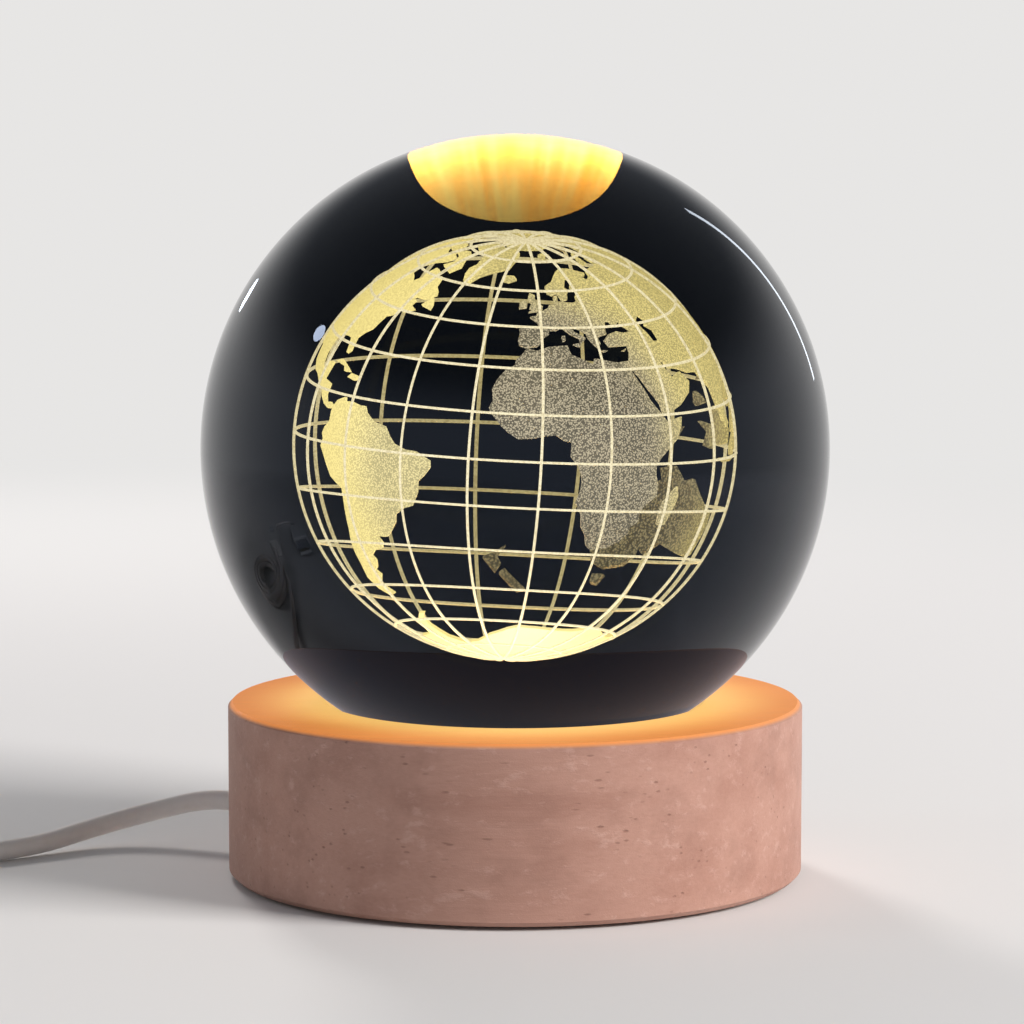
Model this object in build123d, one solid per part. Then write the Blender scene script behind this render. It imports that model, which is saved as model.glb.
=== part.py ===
from build123d import *
import math
import os

# Crystal ball lamp: a glass ball with an engraved globe stands on a round wooden base.
# A light board in the base shines up through an opal window into the ball's ground flat.
# The lead runs from the back left of the base to a push switch and a flat plug.
# Millimetres. The origin is on the table under the middle of the base, and the front is -Y.

# Ball and its seat
ball_diameter = 80.0
ball_flat_diameter = 43.0
ball_flat_bevel = 0.4
seat_depth = 1.6
seat_clearance = 0.5

# Wooden base
base_diameter = 73.5
base_height = 22.0
base_edge_bevel = 0.6
web_thickness = 5.4
pocket_diameter = 50.0
light_hole_diameter = 22.0

# Opal window over the light board
window_diameter = 26.0
window_thickness = 2.8
window_sink = 0.2
window_clearance = 0.15

# Bottom cover and feet
cover_diameter = 60.0
cover_thickness = 1.6
cover_sink = 1.0
cover_clearance = 0.3
foot_count = 4
foot_diameter = 8.0
foot_projection = 0.5
foot_circle_diameter = 40.0

# Light board
board_diameter = 40.0
board_thickness = 1.2
chip_count = 6
chip_length = 3.5
chip_width = 2.8
chip_height = 1.0
chip_circle_share = 0.64
resistor_count = 3
resistor_length = 2.0
resistor_width = 1.2
resistor_height = 0.5
resistor_circle_share = 0.25

# Lead, its way out of the base and its two inner wires
cord_diameter = 2.6
cord_exit_angle = 155.0
cord_exit_height = 6.0
cord_inner_share = 0.8
cord_bore_clearance = 0.05
cord_sides = 6
grommet_body_diameter = 4.8
grommet_lip = 0.5
grommet_flange_diameter = 7.0
grommet_flange_thickness = 1.4
grommet_flange_sink = 0.9
grommet_flange_clearance = 0.2
grommet_nose_length = 2.8
stop_width = 2.5
stop_thickness = 0.9
stop_head_length = 3.6
stop_head_height = 2.4
stop_wall_gap = 0.4
wire_diameter = 1.0
wire_spacing = 1.4
wire_sides = 4
wire_pad_share = 0.575
wire_bend_radius = 2.6

# Coil of the unseen length and its tie
coil_centre_x = -97.0
coil_start_radius = 20.3
coil_half_turns_in = 6
coil_gap = 0.6
tie_thickness = 0.25
tie_width = 3.0
tie_clearance = 0.1

# Switch on the lead
switch_length = 30.0
switch_width = 11.0
switch_centre_y = 1.5
switch_start_x = -118.0
switch_wall = 1.1
switch_corner_radius = 3.2
switch_edge_bevel = 0.9
button_diameter = 6.4
button_clearance = 0.2
button_height = 1.6
button_travel = 1.2
button_flange_width = 0.8
button_flange_thickness = 0.8
button_edge_bevel = 0.4
button_stem_diameter = 2.4
contact_width = 2.2
contact_thickness = 0.3
contact_length = 16.0
contact_spacing = 3.0
contact_rise = 1.4

# Plug on the end of the lead
plug_start_x = -148.0
plug_centre_y = -29.5
relief_length = 8.0
relief_start_diameter = 3.6
relief_taper_angle = 7.0
relief_sides = 12
grip_length = 20.0
grip_width = 15.6
grip_height = 8.0
grip_edge_radius = 1.6
grip_end_bevel = 0.8
plug_shell_length = 12.0
plug_shell_width = 12.0
plug_shell_height = 4.5
plug_shell_wall = 0.3
plug_window_size = 2.2
plug_window_spacing = 5.0
plug_window_setback = 5.0
tongue_width = 11.0
tongue_height = 1.9
tongue_setback = 0.8
plug_contact_count = 4
plug_contact_width = 1.0
plug_contact_length = 7.0
plug_contact_thickness = 0.15
plug_contact_pitch = 2.3

# Engraved globe: lines and land marked in the glass with a laser, in three thin layers
globe_radius = 18.9
line_width = 0.3
layer_step = 0.55
meridian_count = 16
meridian_sides = 12
meridian_end_angle = 86.0
parallel_step_angle = 15
parallel_sides = 24
globe_lean_angle = 3.0
globe_front_angle = -8.0

# Overrun of every cut
overrun = 1.0

# Heights and radii that follow from the sizes above
ball_radius = ball_diameter / 2
base_radius = base_diameter / 2
base_bottom = foot_projection
base_top = base_bottom + base_height
seat_floor = base_top - seat_depth
ball_drop = math.sqrt(ball_radius ** 2 - (ball_flat_diameter / 2) ** 2)
ball_centre = seat_floor + ball_drop
seat_radius = math.sqrt(ball_radius ** 2 - (ball_centre - base_top) ** 2) + seat_clearance
pocket_radius = pocket_diameter / 2
pocket_ceiling = seat_floor - web_thickness
hole_radius = light_hole_diameter / 2
window_rebate_radius = window_diameter / 2 + window_clearance
window_rebate_floor = seat_floor - window_thickness - window_sink
cover_bottom = base_bottom + cover_sink
cover_top = cover_bottom + cover_thickness
cover_rebate_radius = cover_diameter / 2 + cover_clearance
board_bottom = pocket_ceiling - board_thickness
cord_inner_radius = board_diameter / 2 * cord_inner_share
wire_pad_radius = board_diameter / 2 * wire_pad_share
cord_radius = cord_diameter / 2
cord_bore = cord_radius + cord_bore_clearance
grommet_start = pocket_radius - grommet_lip
grommet_flange_seat = base_radius - grommet_flange_sink
grommet_flange_end = grommet_flange_seat + grommet_flange_thickness
grommet_end = grommet_flange_end + grommet_nose_length
turn_pitch = cord_diameter + coil_gap
coil_floor = tie_thickness + tie_clearance + cord_radius
coil_upper = coil_floor + turn_pitch
switch_height = 2 * coil_upper
switch_end_x = switch_start_x - switch_length
plug_height = grip_height / 2
exit_frame = Location((0, 0, 0), (0, 0, cord_exit_angle))

# Free stretches of the lead, by hand. Every height is the middle of the cord.
exit_x = math.cos(math.radians(cord_exit_angle))
exit_y = math.sin(math.radians(cord_exit_angle))
lead_straight = 5.9
lead_end_y = -2.9
coil_centre_y = lead_end_y + coil_start_radius
lead_points = [
    (grommet_end * exit_x, grommet_end * exit_y, cord_exit_height),
    ((grommet_end + lead_straight) * exit_x, (grommet_end + lead_straight) * exit_y, cord_exit_height),
    (-48.8, 20.4, 4.1),
    (-55.8, 17.7, 2.6),
    (-62.9, 10.0, 1.4),
    (-71.4, 3.7, 1.35),
    (-80.7, -0.8, 1.4),
    (-89.2, lead_end_y, coil_floor),
    (coil_centre_x, lead_end_y, coil_floor),
]
tail_start_y = lead_end_y + turn_pitch / 2
tail_points = [
    (coil_centre_x, tail_start_y, coil_upper),
    (-103.0, tail_start_y, coil_upper),
    (-112.0, switch_centre_y, coil_upper),
    (switch_start_x, switch_centre_y, coil_upper),
]
end_points = [
    (switch_end_x, switch_centre_y, coil_upper),
    (-153.2, switch_centre_y, coil_upper),
    (-161.2, 0.2, 2.8),
    (-168.0, -5.6, 1.5),
    (-170.6, -14.0, 1.35),
    (-168.0, -22.4, 1.5),
    (-161.2, -28.2, 2.5),
    (-153.2, plug_centre_y, plug_height),
    (plug_start_x, plug_centre_y, plug_height),
]
cord_arc_share = 0.45

# Land outlines in degrees east and north, each with the middle that it is seen from
africa_by_angle = [
    (-6, 35), (10, 37), (20, 32), (33, 31), (37, 22), (43, 12), (51, 11), (42, -2), (40, -15),
    (35, -24), (28, -33), (18, -34), (12, -18), (9, 4), (-8, 4), (-17, 14), (-16, 24),
]
europe_by_angle = [
    (-9, 37), (-9, 43), (-1, 44), (-4, 48), (8, 54), (5, 60), (15, 69), (30, 70), (59, 69),
    (59, 25), (56, 25), (59, 22), (45, 13), (36, 27), (36, 36), (24, 37), (12, 45), (0, 38),
]
asia_by_angle = [
    (60, 69), (80, 73), (110, 74), (140, 72), (178, 67), (162, 60), (143, 58), (135, 54),
    (140, 48), (128, 40), (126, 34), (119, 39), (122, 30), (109, 20), (108, 11), (103, 2),
    (98, 16), (90, 22), (80, 15), (77, 8), (72, 20), (60, 25),
]
north_america_by_angle = [
    (-168, 66), (-156, 71), (-125, 70), (-82, 69), (-94, 60), (-80, 52), (-76, 62), (-56, 52),
    (-66, 44), (-76, 36), (-81, 25), (-84, 30), (-97, 27), (-95, 18), (-88, 21), (-83, 15),
    (-79, 8), (-95, 16), (-105, 21), (-115, 31), (-124, 41), (-135, 58), (-152, 59), (-164, 55),
]
south_america_by_angle = [
    (-77, 8), (-72, 12), (-60, 9), (-50, 1), (-35, -6), (-39, -15), (-48, -26), (-58, -36),
    (-65, -44), (-69, -54), (-75, -48), (-71, -18), (-81, -5),
]
australia_by_angle = [
    (114, -22), (122, -18), (130, -12), (136, -12), (140, -17), (143, -11), (153, -26),
    (150, -37), (140, -38), (130, -32), (116, -35),
]
greenland_by_angle = [(-55, 60), (-42, 60), (-22, 70), (-20, 80), (-60, 82), (-70, 77), (-54, 68)]
madagascar_by_angle = [(44, -25), (47, -25), (50, -16), (49, -12), (44, -17)]
antarctica_by_angle = [(east, -70) for east in range(0, 360, 30)]
land_by_angle = [
    (africa_by_angle, 15, 3), (europe_by_angle, 25, 45), (asia_by_angle, 105, 42),
    (north_america_by_angle, -100, 43), (south_america_by_angle, -60, -20), (australia_by_angle, 134, -25),
    (greenland_by_angle, -42, 72), (madagascar_by_angle, 47, -19), (antarctica_by_angle, 0, -90),
]


def disc(radius, low, high):
    return Pos(0, 0, low) * extrude(Circle(radius), high - low)


def ring_places(count, radius, first_angle=0.0):
    """Places round the axis, one every equal share of a turn."""
    return [
        Location((0, 0, 0), (0, 0, first_angle + step * 360 / count)) * Pos(radius, 0, 0)
        for step in range(count)
    ]


def along_exit(profile, start, length):
    """A profile extruded outwards along the cord's way out of the base."""
    plane = Plane(origin=(start, 0, cord_exit_height), x_dir=(0, 1, 0), z_dir=(1, 0, 0))
    return exit_frame * extrude(plane * profile, length)


# Wooden base: one turned block, open below for the light board, with the ball's seat on top
def make_wood_base():
    outline = Polyline(
        (hole_radius, pocket_ceiling),
        (hole_radius, window_rebate_floor),
        (window_rebate_radius, window_rebate_floor),
        (window_rebate_radius, seat_floor),
        (seat_radius, seat_floor),
        (seat_radius, base_top),
        (base_radius, base_top),
        (base_radius, base_bottom),
        (cover_rebate_radius, base_bottom),
        (cover_rebate_radius, cover_top),
        (pocket_radius, cover_top),
        (pocket_radius, pocket_ceiling),
        close=True,
    )
    section = make_face(Plane.XZ * outline)
    corners = section.vertices().group_by(Axis.X)[-1]
    block = revolve(chamfer(corners, base_edge_bevel), Axis.Z)
    flange_hole = Circle(grommet_flange_diameter / 2 + grommet_flange_clearance)
    block -= along_exit(Circle(grommet_body_diameter / 2), hole_radius, base_radius)
    block -= along_exit(flange_hole, grommet_flange_seat, grommet_flange_sink + overrun)
    return block


# Opal acrylic disc that lets the light up into the ball
def make_light_window():
    return disc(window_diameter / 2, window_rebate_floor, window_rebate_floor + window_thickness)


# Round board with the light chips in a ring and their resistors in the middle
def make_led_board():
    return disc(board_diameter / 2, board_bottom, pocket_ceiling)


def make_led_chips():
    chip = Pos(0, 0, pocket_ceiling + chip_height / 2) * Box(chip_length, chip_width, chip_height)
    return Compound([place * chip for place in ring_places(chip_count, hole_radius * chip_circle_share)])


def make_chip_resistors():
    body = Pos(0, 0, pocket_ceiling + resistor_height / 2) * Box(
        resistor_width, resistor_length, resistor_height
    )
    places = ring_places(resistor_count, hole_radius * resistor_circle_share)
    return Compound([place * body for place in places])


# Moulded cover pressed into its rebate over the open underside, and the feet stuck to it
def make_bottom_cover():
    return disc(cover_diameter / 2, cover_bottom, cover_top)


def make_rubber_feet():
    foot = disc(foot_diameter / 2, 0, cover_bottom)
    places = ring_places(foot_count, foot_circle_diameter / 2, cord_exit_angle)
    return Compound([place * foot for place in places])


# Rubber grommet: body through the wall, flange in its own recess, short nose round the cord
def make_cord_grommet():
    outline = Polyline(
        (cord_bore, grommet_start),
        (grommet_body_diameter / 2, grommet_start),
        (grommet_body_diameter / 2, grommet_flange_seat),
        (grommet_flange_diameter / 2, grommet_flange_seat),
        (grommet_flange_diameter / 2, grommet_flange_end),
        (grommet_body_diameter / 2, grommet_flange_end),
        (grommet_body_diameter / 2, grommet_end),
        (cord_bore, grommet_end),
        close=True,
    )
    body = revolve(make_face(Plane.XZ * outline), Axis.Z)
    return exit_frame * Pos(0, 0, cord_exit_height) * Rot(0, 90, 0) * body


# The lead inside the base, from the grommet's end to where its jacket is stripped
def make_cord_inside():
    return along_exit(Circle(cord_radius), cord_inner_radius, grommet_end - cord_inner_radius)


# Nylon tie pulled tight behind the wall, so that the lead can't be drawn out
def make_cord_stop():
    start = grommet_start - stop_wall_gap - stop_width
    band = Circle(cord_bore + stop_thickness)
    band += Pos(0, cord_bore + stop_head_height / 2) * Rectangle(stop_head_length, stop_head_height)
    return along_exit(band - Circle(cord_bore), start, stop_width)


# Two thin wires from the lead's end up to the board's pads
def make_wire(side):
    aside = side * wire_spacing / 2
    path = FilletPolyline(
        (cord_inner_radius, aside, cord_exit_height),
        (wire_pad_radius, aside, cord_exit_height),
        (wire_pad_radius, aside, board_bottom),
        radius=wire_bend_radius,
    )
    section = Plane(origin=path @ 0, z_dir=path % 0) * RegularPolygon(wire_diameter / 2, wire_sides)
    return exit_frame * sweep(section, path=path)


# Glass ball, ground flat below
def make_crystal_ball():
    ball = Sphere(ball_radius) - Pos(0, 0, -ball_drop) * Box(
        ball_diameter, ball_diameter, ball_diameter, align=(Align.CENTER, Align.CENTER, Align.MAX)
    )
    rim = ball.faces().filter_by(GeomType.PLANE).edges()
    return Pos(0, 0, ball_centre) * chamfer(rim, ball_flat_bevel)


def globe_place():
    return Pos(0, 0, ball_centre) * Rot(0, globe_lean_angle, 0) * Rot(0, 0, -90 - globe_front_angle)


# Engraved meridians: flat bands of short chords that stop short of the poles
def make_globe_meridians():
    reach = meridian_end_angle
    latitudes = [reach * (2 * step / meridian_sides - 1) for step in range(meridian_sides + 1)]
    turns = [(math.cos(math.radians(latitude)), math.sin(math.radians(latitude))) for latitude in latitudes]
    outer, inner = globe_radius + line_width / 2, globe_radius - line_width / 2
    points = [(outer * x, outer * y) for x, y in turns]
    points += [(inner * x, inner * y) for x, y in reversed(turns)]
    band = make_face(Plane.XZ * Polyline(*points, close=True))
    line = extrude(band, line_width / 2, both=True)
    lines = [Rot(0, 0, step * 360 / meridian_count) * line for step in range(meridian_count)]
    return globe_place() * Compound(lines)


# Engraved parallels: a ring at every step of latitude, in a layer just inside the meridians
def make_globe_parallels():
    radius = globe_radius - layer_step
    rings = []
    for latitude in range(parallel_step_angle - 90, 90, parallel_step_angle):
        narrow = math.cos(math.radians(latitude))
        sides = 4 * round(parallel_sides * math.sqrt(narrow) / 4)
        ring = RegularPolygon(radius * narrow + line_width / 2, sides)
        ring -= RegularPolygon(radius * narrow - line_width / 2, sides)
        height = radius * math.sin(math.radians(latitude)) - line_width / 2
        rings.append(Pos(0, 0, height) * extrude(ring, line_width))
    return globe_place() * Compound(rings)


def globe_spot(east, north, radius=1.0):
    """The place on a ball round the origin at an angle east and north."""
    level = math.cos(math.radians(north))
    return Vector(
        radius * level * math.cos(math.radians(east)),
        radius * level * math.sin(math.radians(east)),
        radius * math.sin(math.radians(north)),
    )


def closed_solid(rings):
    """A solid with flat faces, from the corner points of each."""
    return Solid(Shell([make_face(Polyline(*ring, close=True)) for ring in rings]))


def faceted_ball(radius):
    """A ball of flat facets, one row to each step of latitude, with flat ends."""
    rows = [
        [globe_spot(side * 360 / parallel_sides, north, radius) for side in range(parallel_sides)]
        for north in range(parallel_step_angle - 90, 90, parallel_step_angle)
    ]
    rings = [rows[0], rows[-1]]
    for low, high in zip(rows, rows[1:]):
        for side in range(parallel_sides):
            rings.append([low[side - 1], low[side], high[side], high[side - 1]])
    return closed_solid(rings)


def outline_cone(outline, middle, reach):
    """The space over an outline, as a pyramid from the globe's middle to a plane beyond it."""
    spots = [globe_spot(east, north) for east, north in outline]
    far = [spot * (reach / spot.dot(middle)) for spot in spots]
    tip = Vector(0, 0, 0)
    return closed_solid([far] + [[tip, far[step - 1], far[step]] for step in range(len(far))])


# Engraved land: the part of a thin faceted skin that lies over each outline
def make_globe_lands():
    outer = globe_radius - 2 * layer_step
    skin = faceted_ball(outer) - faceted_ball(outer - line_width)
    pieces = []
    for outline, east, north in land_by_angle:
        pieces += (skin & outline_cone(outline, globe_spot(east, north), globe_radius)).solids()
    return globe_place() * Compound(pieces)


# Free stretches of the lead: straight runs joined by arcs as large as the runs allow
def corner_radii(points):
    spots = [Vector(*point) for point in points]
    radii = []
    for before, at, after in zip(spots, spots[1:], spots[2:]):
        run_in, run_out = at - before, after - at
        turn = math.radians(run_in.get_angle(run_out))
        radii.append(cord_arc_share * min(run_in.length, run_out.length) / math.tan(turn / 2))
    return radii


def make_stretch(name, points):
    radii = corner_radii(points)
    path = FilletPolyline(*points, radius=radii)
    plane = Plane(origin=path @ 0, z_dir=path % 0, x_dir=(0, 0, 1))
    section = plane * RegularPolygon(cord_radius, cord_sides)
    tube = sweep(section, path=path)
    print(name, "length", round(path.length, 1), "radii", [round(radius, 1) for radius in radii])
    print(name, "volume over section times length", round(tube.volume / (section.area * path.length), 4))
    return tube


# Coil: one tube that spirals in, climbs a layer in a half turn and spirals out again
def coil_radii():
    """The radius at the end of each half turn, in the lower layer and then in the upper one."""
    inward = [coil_start_radius - step * turn_pitch / 2 for step in range(coil_half_turns_in + 1)]
    outward = [inward[-1] + step * turn_pitch / 2 for step in range(coil_half_turns_in)]
    outward[0] -= turn_pitch / 4
    return inward, outward


def coil_stops():
    """Places and directions at the end of each half turn."""
    inward, outward = coil_radii()
    levels = [coil_floor] * len(inward) + [coil_upper] * len(outward)
    stops = []
    for step, (radius, level) in enumerate(zip(inward + outward, levels)):
        side = -1 if step % 2 == 0 else 1
        stops.append((Vector(coil_centre_x, coil_centre_y + side * radius, level), Vector(side, 0, 0)))
    return stops


def biarc(start, start_way, end, end_way):
    """Two arcs from start to end that leave and arrive along the two ways given."""
    across, ways = end - start, start_way + end_way
    spread = 2 * (1 - start_way.dot(end_way))
    reach = (-across.dot(ways) + math.sqrt(across.dot(ways) ** 2 + spread * across.dot(across))) / spread
    middle = (start + start_way * reach + end - end_way * reach) * 0.5
    first = TangentArc(start, middle, tangent=start_way)
    return [first, TangentArc(middle, end, tangent=first % 1)]


def coil_path():
    stops = coil_stops()
    arcs = []
    for (start, start_way), (end, end_way) in zip(stops, stops[1:]):
        arcs += biarc(start, start_way, end, end_way)
    return Wire(arcs)


def least_gap(path):
    """The least clear gap between turns, from points along the path."""
    count = int(path.length / cord_radius)
    spots = [path @ (step / count) for step in range(count + 1)]
    apart = int(coil_start_radius / cord_radius)
    pairs = [
        (spots[i] - spots[j]).length
        for i in range(count + 1)
        for j in range(i + apart, count + 1)
    ]
    return min(pairs) - cord_diameter


def make_cord_coil():
    path = coil_path()
    side = cord_diameter * math.sqrt(math.pi) / 2
    section = Plane(origin=path @ 0, z_dir=path % 0, x_dir=(0, 0, 1)) * Rectangle(side, side)
    guide = path.moved(Location((0, 0, coil_start_radius)))
    tube = sweep(section, path=path, binormal=guide)
    print("coil length", round(path.length, 1), "least gap", round(least_gap(path), 2))
    print("coil volume over section times length", round(tube.volume / (section.area * path.length), 4))
    return tube


# Paper-covered wire tie round the turns on the side of the coil next to the lamp
def make_coil_tie():
    inward, outward = coil_radii()
    ends = inward + outward
    crossings = [(before + after) / 2 for before, after in zip(ends[1::2], ends[2::2])]
    outer_edge = max(crossings) + cord_radius
    tie_reach = tie_width / 2 + turn_pitch / 4
    inner_edge = math.sqrt(min(crossings) ** 2 - tie_reach ** 2) - cord_radius
    width = outer_edge - inner_edge + 2 * tie_clearance
    height = coil_upper - coil_floor + cord_diameter + 2 * tie_clearance
    middle_x = coil_centre_x + (inner_edge + outer_edge) / 2
    middle = (middle_x, coil_centre_y, (coil_floor + coil_upper) / 2)
    band = Rectangle(width + 2 * tie_thickness, height + 2 * tie_thickness) - Rectangle(width, height)
    return extrude(Plane(origin=middle, x_dir=(1, 0, 0), z_dir=(0, 1, 0)) * band, tie_width / 2, both=True)


# Switch: two shells that meet at the height of the cord, and a button that is pressed
def switch_middle(height=0.0):
    return Pos(switch_start_x - switch_length / 2, switch_centre_y, height)


def make_switch_shell(outer_side):
    outline = RectangleRounded(switch_length, switch_width, switch_corner_radius)
    hollow = Rectangle(switch_length - 2 * switch_wall, switch_width - 2 * switch_wall)
    shell = extrude(outline, coil_upper * outer_side)
    rim = shell.faces().sort_by(Axis.Z)[-1 if outer_side > 0 else 0].edges()
    shell = chamfer(rim, switch_edge_bevel)
    return shell - extrude(hollow, (coil_upper - switch_wall) * outer_side)


def make_switch_lower_shell():
    return switch_middle(coil_upper) * make_switch_shell(-1)


def make_switch_upper_shell():
    hole = Cylinder(button_diameter / 2 + button_clearance, switch_height * 2)
    return switch_middle(coil_upper) * (make_switch_shell(1) - hole)


def make_switch_button():
    ceiling = switch_height - switch_wall
    flange_top = ceiling - button_clearance
    flange_bottom = flange_top - button_flange_thickness
    cap = disc(button_diameter / 2, flange_bottom, switch_height + button_height)
    cap = chamfer(cap.edges().group_by(Axis.Z)[-1], button_edge_bevel)
    flange = disc(button_diameter / 2 + button_flange_width, flange_bottom, flange_top)
    stem_bottom = switch_wall + contact_rise + contact_thickness + button_travel + button_clearance
    stem = disc(button_stem_diameter / 2, stem_bottom, flange_bottom)
    return switch_middle() * (cap + flange + stem)


# Two springy brass strips on the floor of the lower shell, raised under the button
def make_switch_contacts():
    reach = contact_length / 2
    low, high = switch_wall, switch_wall + contact_rise
    lower = [(-reach, low), (-reach / 2, low), (0, high), (reach, high)]
    upper = [(x, z + contact_thickness) for x, z in reversed(lower)]
    strip = extrude(make_face(Plane.XZ * Polyline(*lower, *upper, close=True)), contact_width / 2, both=True)
    shift = contact_spacing / 2
    return switch_middle() * Compound([Pos(0, shift, 0) * strip, Pos(0, -shift, 0) * strip])


# Plug: tapered relief, moulded grip, folded steel shell, tongue and contact strips
def plug_place(distance=0.0):
    return Pos(plug_start_x + distance, plug_centre_y, plug_height)


def plug_profile(profile, length, taper=0.0):
    plane = Plane(origin=(0, 0, 0), x_dir=(0, 1, 0), z_dir=(1, 0, 0))
    return extrude(plane * profile, length, taper=taper)


def make_plug_relief():
    profile = RegularPolygon(relief_start_diameter / 2, relief_sides)
    return plug_place() * plug_profile(profile, relief_length, -relief_taper_angle)


def make_plug_grip():
    grip = plug_profile(RectangleRounded(grip_width, grip_height, grip_edge_radius), grip_length)
    ends = grip.edges().group_by(Axis.X)
    return plug_place(relief_length) * chamfer(ends[0] + ends[-1], grip_end_bevel)


def make_plug_shell():
    size = (Align.MIN, Align.CENTER, Align.CENTER)
    shell = Box(plug_shell_length, plug_shell_width, plug_shell_height, align=size)
    shell -= Box(
        plug_shell_length + overrun,
        plug_shell_width - 2 * plug_shell_wall,
        plug_shell_height - 2 * plug_shell_wall,
        align=size,
    )
    for side in (-1, 1):
        shell -= Pos(plug_window_setback, side * plug_window_spacing / 2, 0) * Box(
            plug_window_size, plug_window_size, plug_shell_height + overrun
        )
    return plug_place(relief_length + grip_length) * shell


def tongue_top():
    return plug_shell_wall - plug_shell_height / 2 + tongue_height


def make_plug_tongue():
    tongue = Box(
        plug_shell_length - tongue_setback, tongue_width, tongue_height,
        align=(Align.MIN, Align.CENTER, Align.MAX),
    )
    return plug_place(relief_length + grip_length) * Pos(0, 0, tongue_top()) * tongue


def make_plug_contacts():
    strip = Box(
        plug_contact_length, plug_contact_width, plug_contact_thickness,
        align=(Align.MIN, Align.CENTER, Align.MIN),
    )
    start = plug_shell_length - 2 * tongue_setback - plug_contact_length
    first = -(plug_contact_count - 1) / 2
    strips = [
        Pos(start, (first + step) * plug_contact_pitch, tongue_top()) * strip
        for step in range(plug_contact_count)
    ]
    return plug_place(relief_length + grip_length) * Compound(strips)


nodes = {
    "wood_base": make_wood_base,
    "light_window": make_light_window,
    "led_board": make_led_board,
    "led_chips": make_led_chips,
    "chip_resistors": make_chip_resistors,
    "supply_wire": lambda: make_wire(1),
    "return_wire": lambda: make_wire(-1),
    "cord_inside": make_cord_inside,
    "cord_stop": make_cord_stop,
    "cord_grommet": make_cord_grommet,
    "bottom_cover": make_bottom_cover,
    "rubber_feet": make_rubber_feet,
    "crystal_ball": make_crystal_ball,
    "globe_meridians": make_globe_meridians,
    "globe_parallels": make_globe_parallels,
    "globe_lands": make_globe_lands,
    "cord_lead": lambda: make_stretch("lead", lead_points),
    "cord_coil": make_cord_coil,
    "coil_tie": make_coil_tie,
    "cord_tail": lambda: make_stretch("tail", tail_points),
    "switch_lower_shell": make_switch_lower_shell,
    "switch_upper_shell": make_switch_upper_shell,
    "switch_button": make_switch_button,
    "switch_contacts": make_switch_contacts,
    "cord_end": lambda: make_stretch("end", end_points),
    "plug_relief": make_plug_relief,
    "plug_grip": make_plug_grip,
    "plug_shell": make_plug_shell,
    "plug_tongue": make_plug_tongue,
    "plug_contacts": make_plug_contacts,
}

os.makedirs("parts", exist_ok=True)
for name, make in nodes.items():
    export_step(make(), f"parts/{name}.step")
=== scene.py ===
import math
import bmesh
import bpy
from mathutils import Matrix, Vector, geometry


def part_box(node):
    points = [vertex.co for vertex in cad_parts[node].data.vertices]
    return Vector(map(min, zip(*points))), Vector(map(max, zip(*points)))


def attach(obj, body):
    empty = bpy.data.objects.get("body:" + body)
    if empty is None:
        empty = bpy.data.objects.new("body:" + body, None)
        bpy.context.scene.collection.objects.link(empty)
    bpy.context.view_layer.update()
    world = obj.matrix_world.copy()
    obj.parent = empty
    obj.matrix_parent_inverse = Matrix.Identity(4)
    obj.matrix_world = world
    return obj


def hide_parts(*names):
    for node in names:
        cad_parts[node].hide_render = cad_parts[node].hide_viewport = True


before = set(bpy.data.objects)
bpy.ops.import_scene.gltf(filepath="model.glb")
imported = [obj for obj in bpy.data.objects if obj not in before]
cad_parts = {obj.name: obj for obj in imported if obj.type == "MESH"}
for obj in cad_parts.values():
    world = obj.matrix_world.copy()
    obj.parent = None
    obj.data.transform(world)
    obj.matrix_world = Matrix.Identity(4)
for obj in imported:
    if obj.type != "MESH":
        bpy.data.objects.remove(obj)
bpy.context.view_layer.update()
scene = bpy.context.scene
scene.view_settings.view_transform = "Standard"

# Camera: straight in front of the lamp, a little above the ball's middle, tilted slightly down.
# The lens is long, so the base's sides stay nearly upright as they do in the photograph.
camera_data = bpy.data.cameras.new("camera")
camera_data.lens = 126.4
camera_data.sensor_width = 36.0
camera = bpy.data.objects.new("camera", camera_data)
camera.location = (-0.0004, -0.457, 0.0916)
camera.rotation_euler = (math.radians(84.37), 0.0, 0.0)
scene.collection.objects.link(camera)
scene.camera = camera

# Studio floor: a wide pale table top that turns into an even pale surround away from the lamp,
# so that the far edge doesn't show. It holds the soft shadow.
floor_reach = 3.0
fade_start, fade_end = 0.20, 0.65
pale, pale_light = (0.80, 0.79, 0.78), (0.40, 0.40, 0.41)


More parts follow.
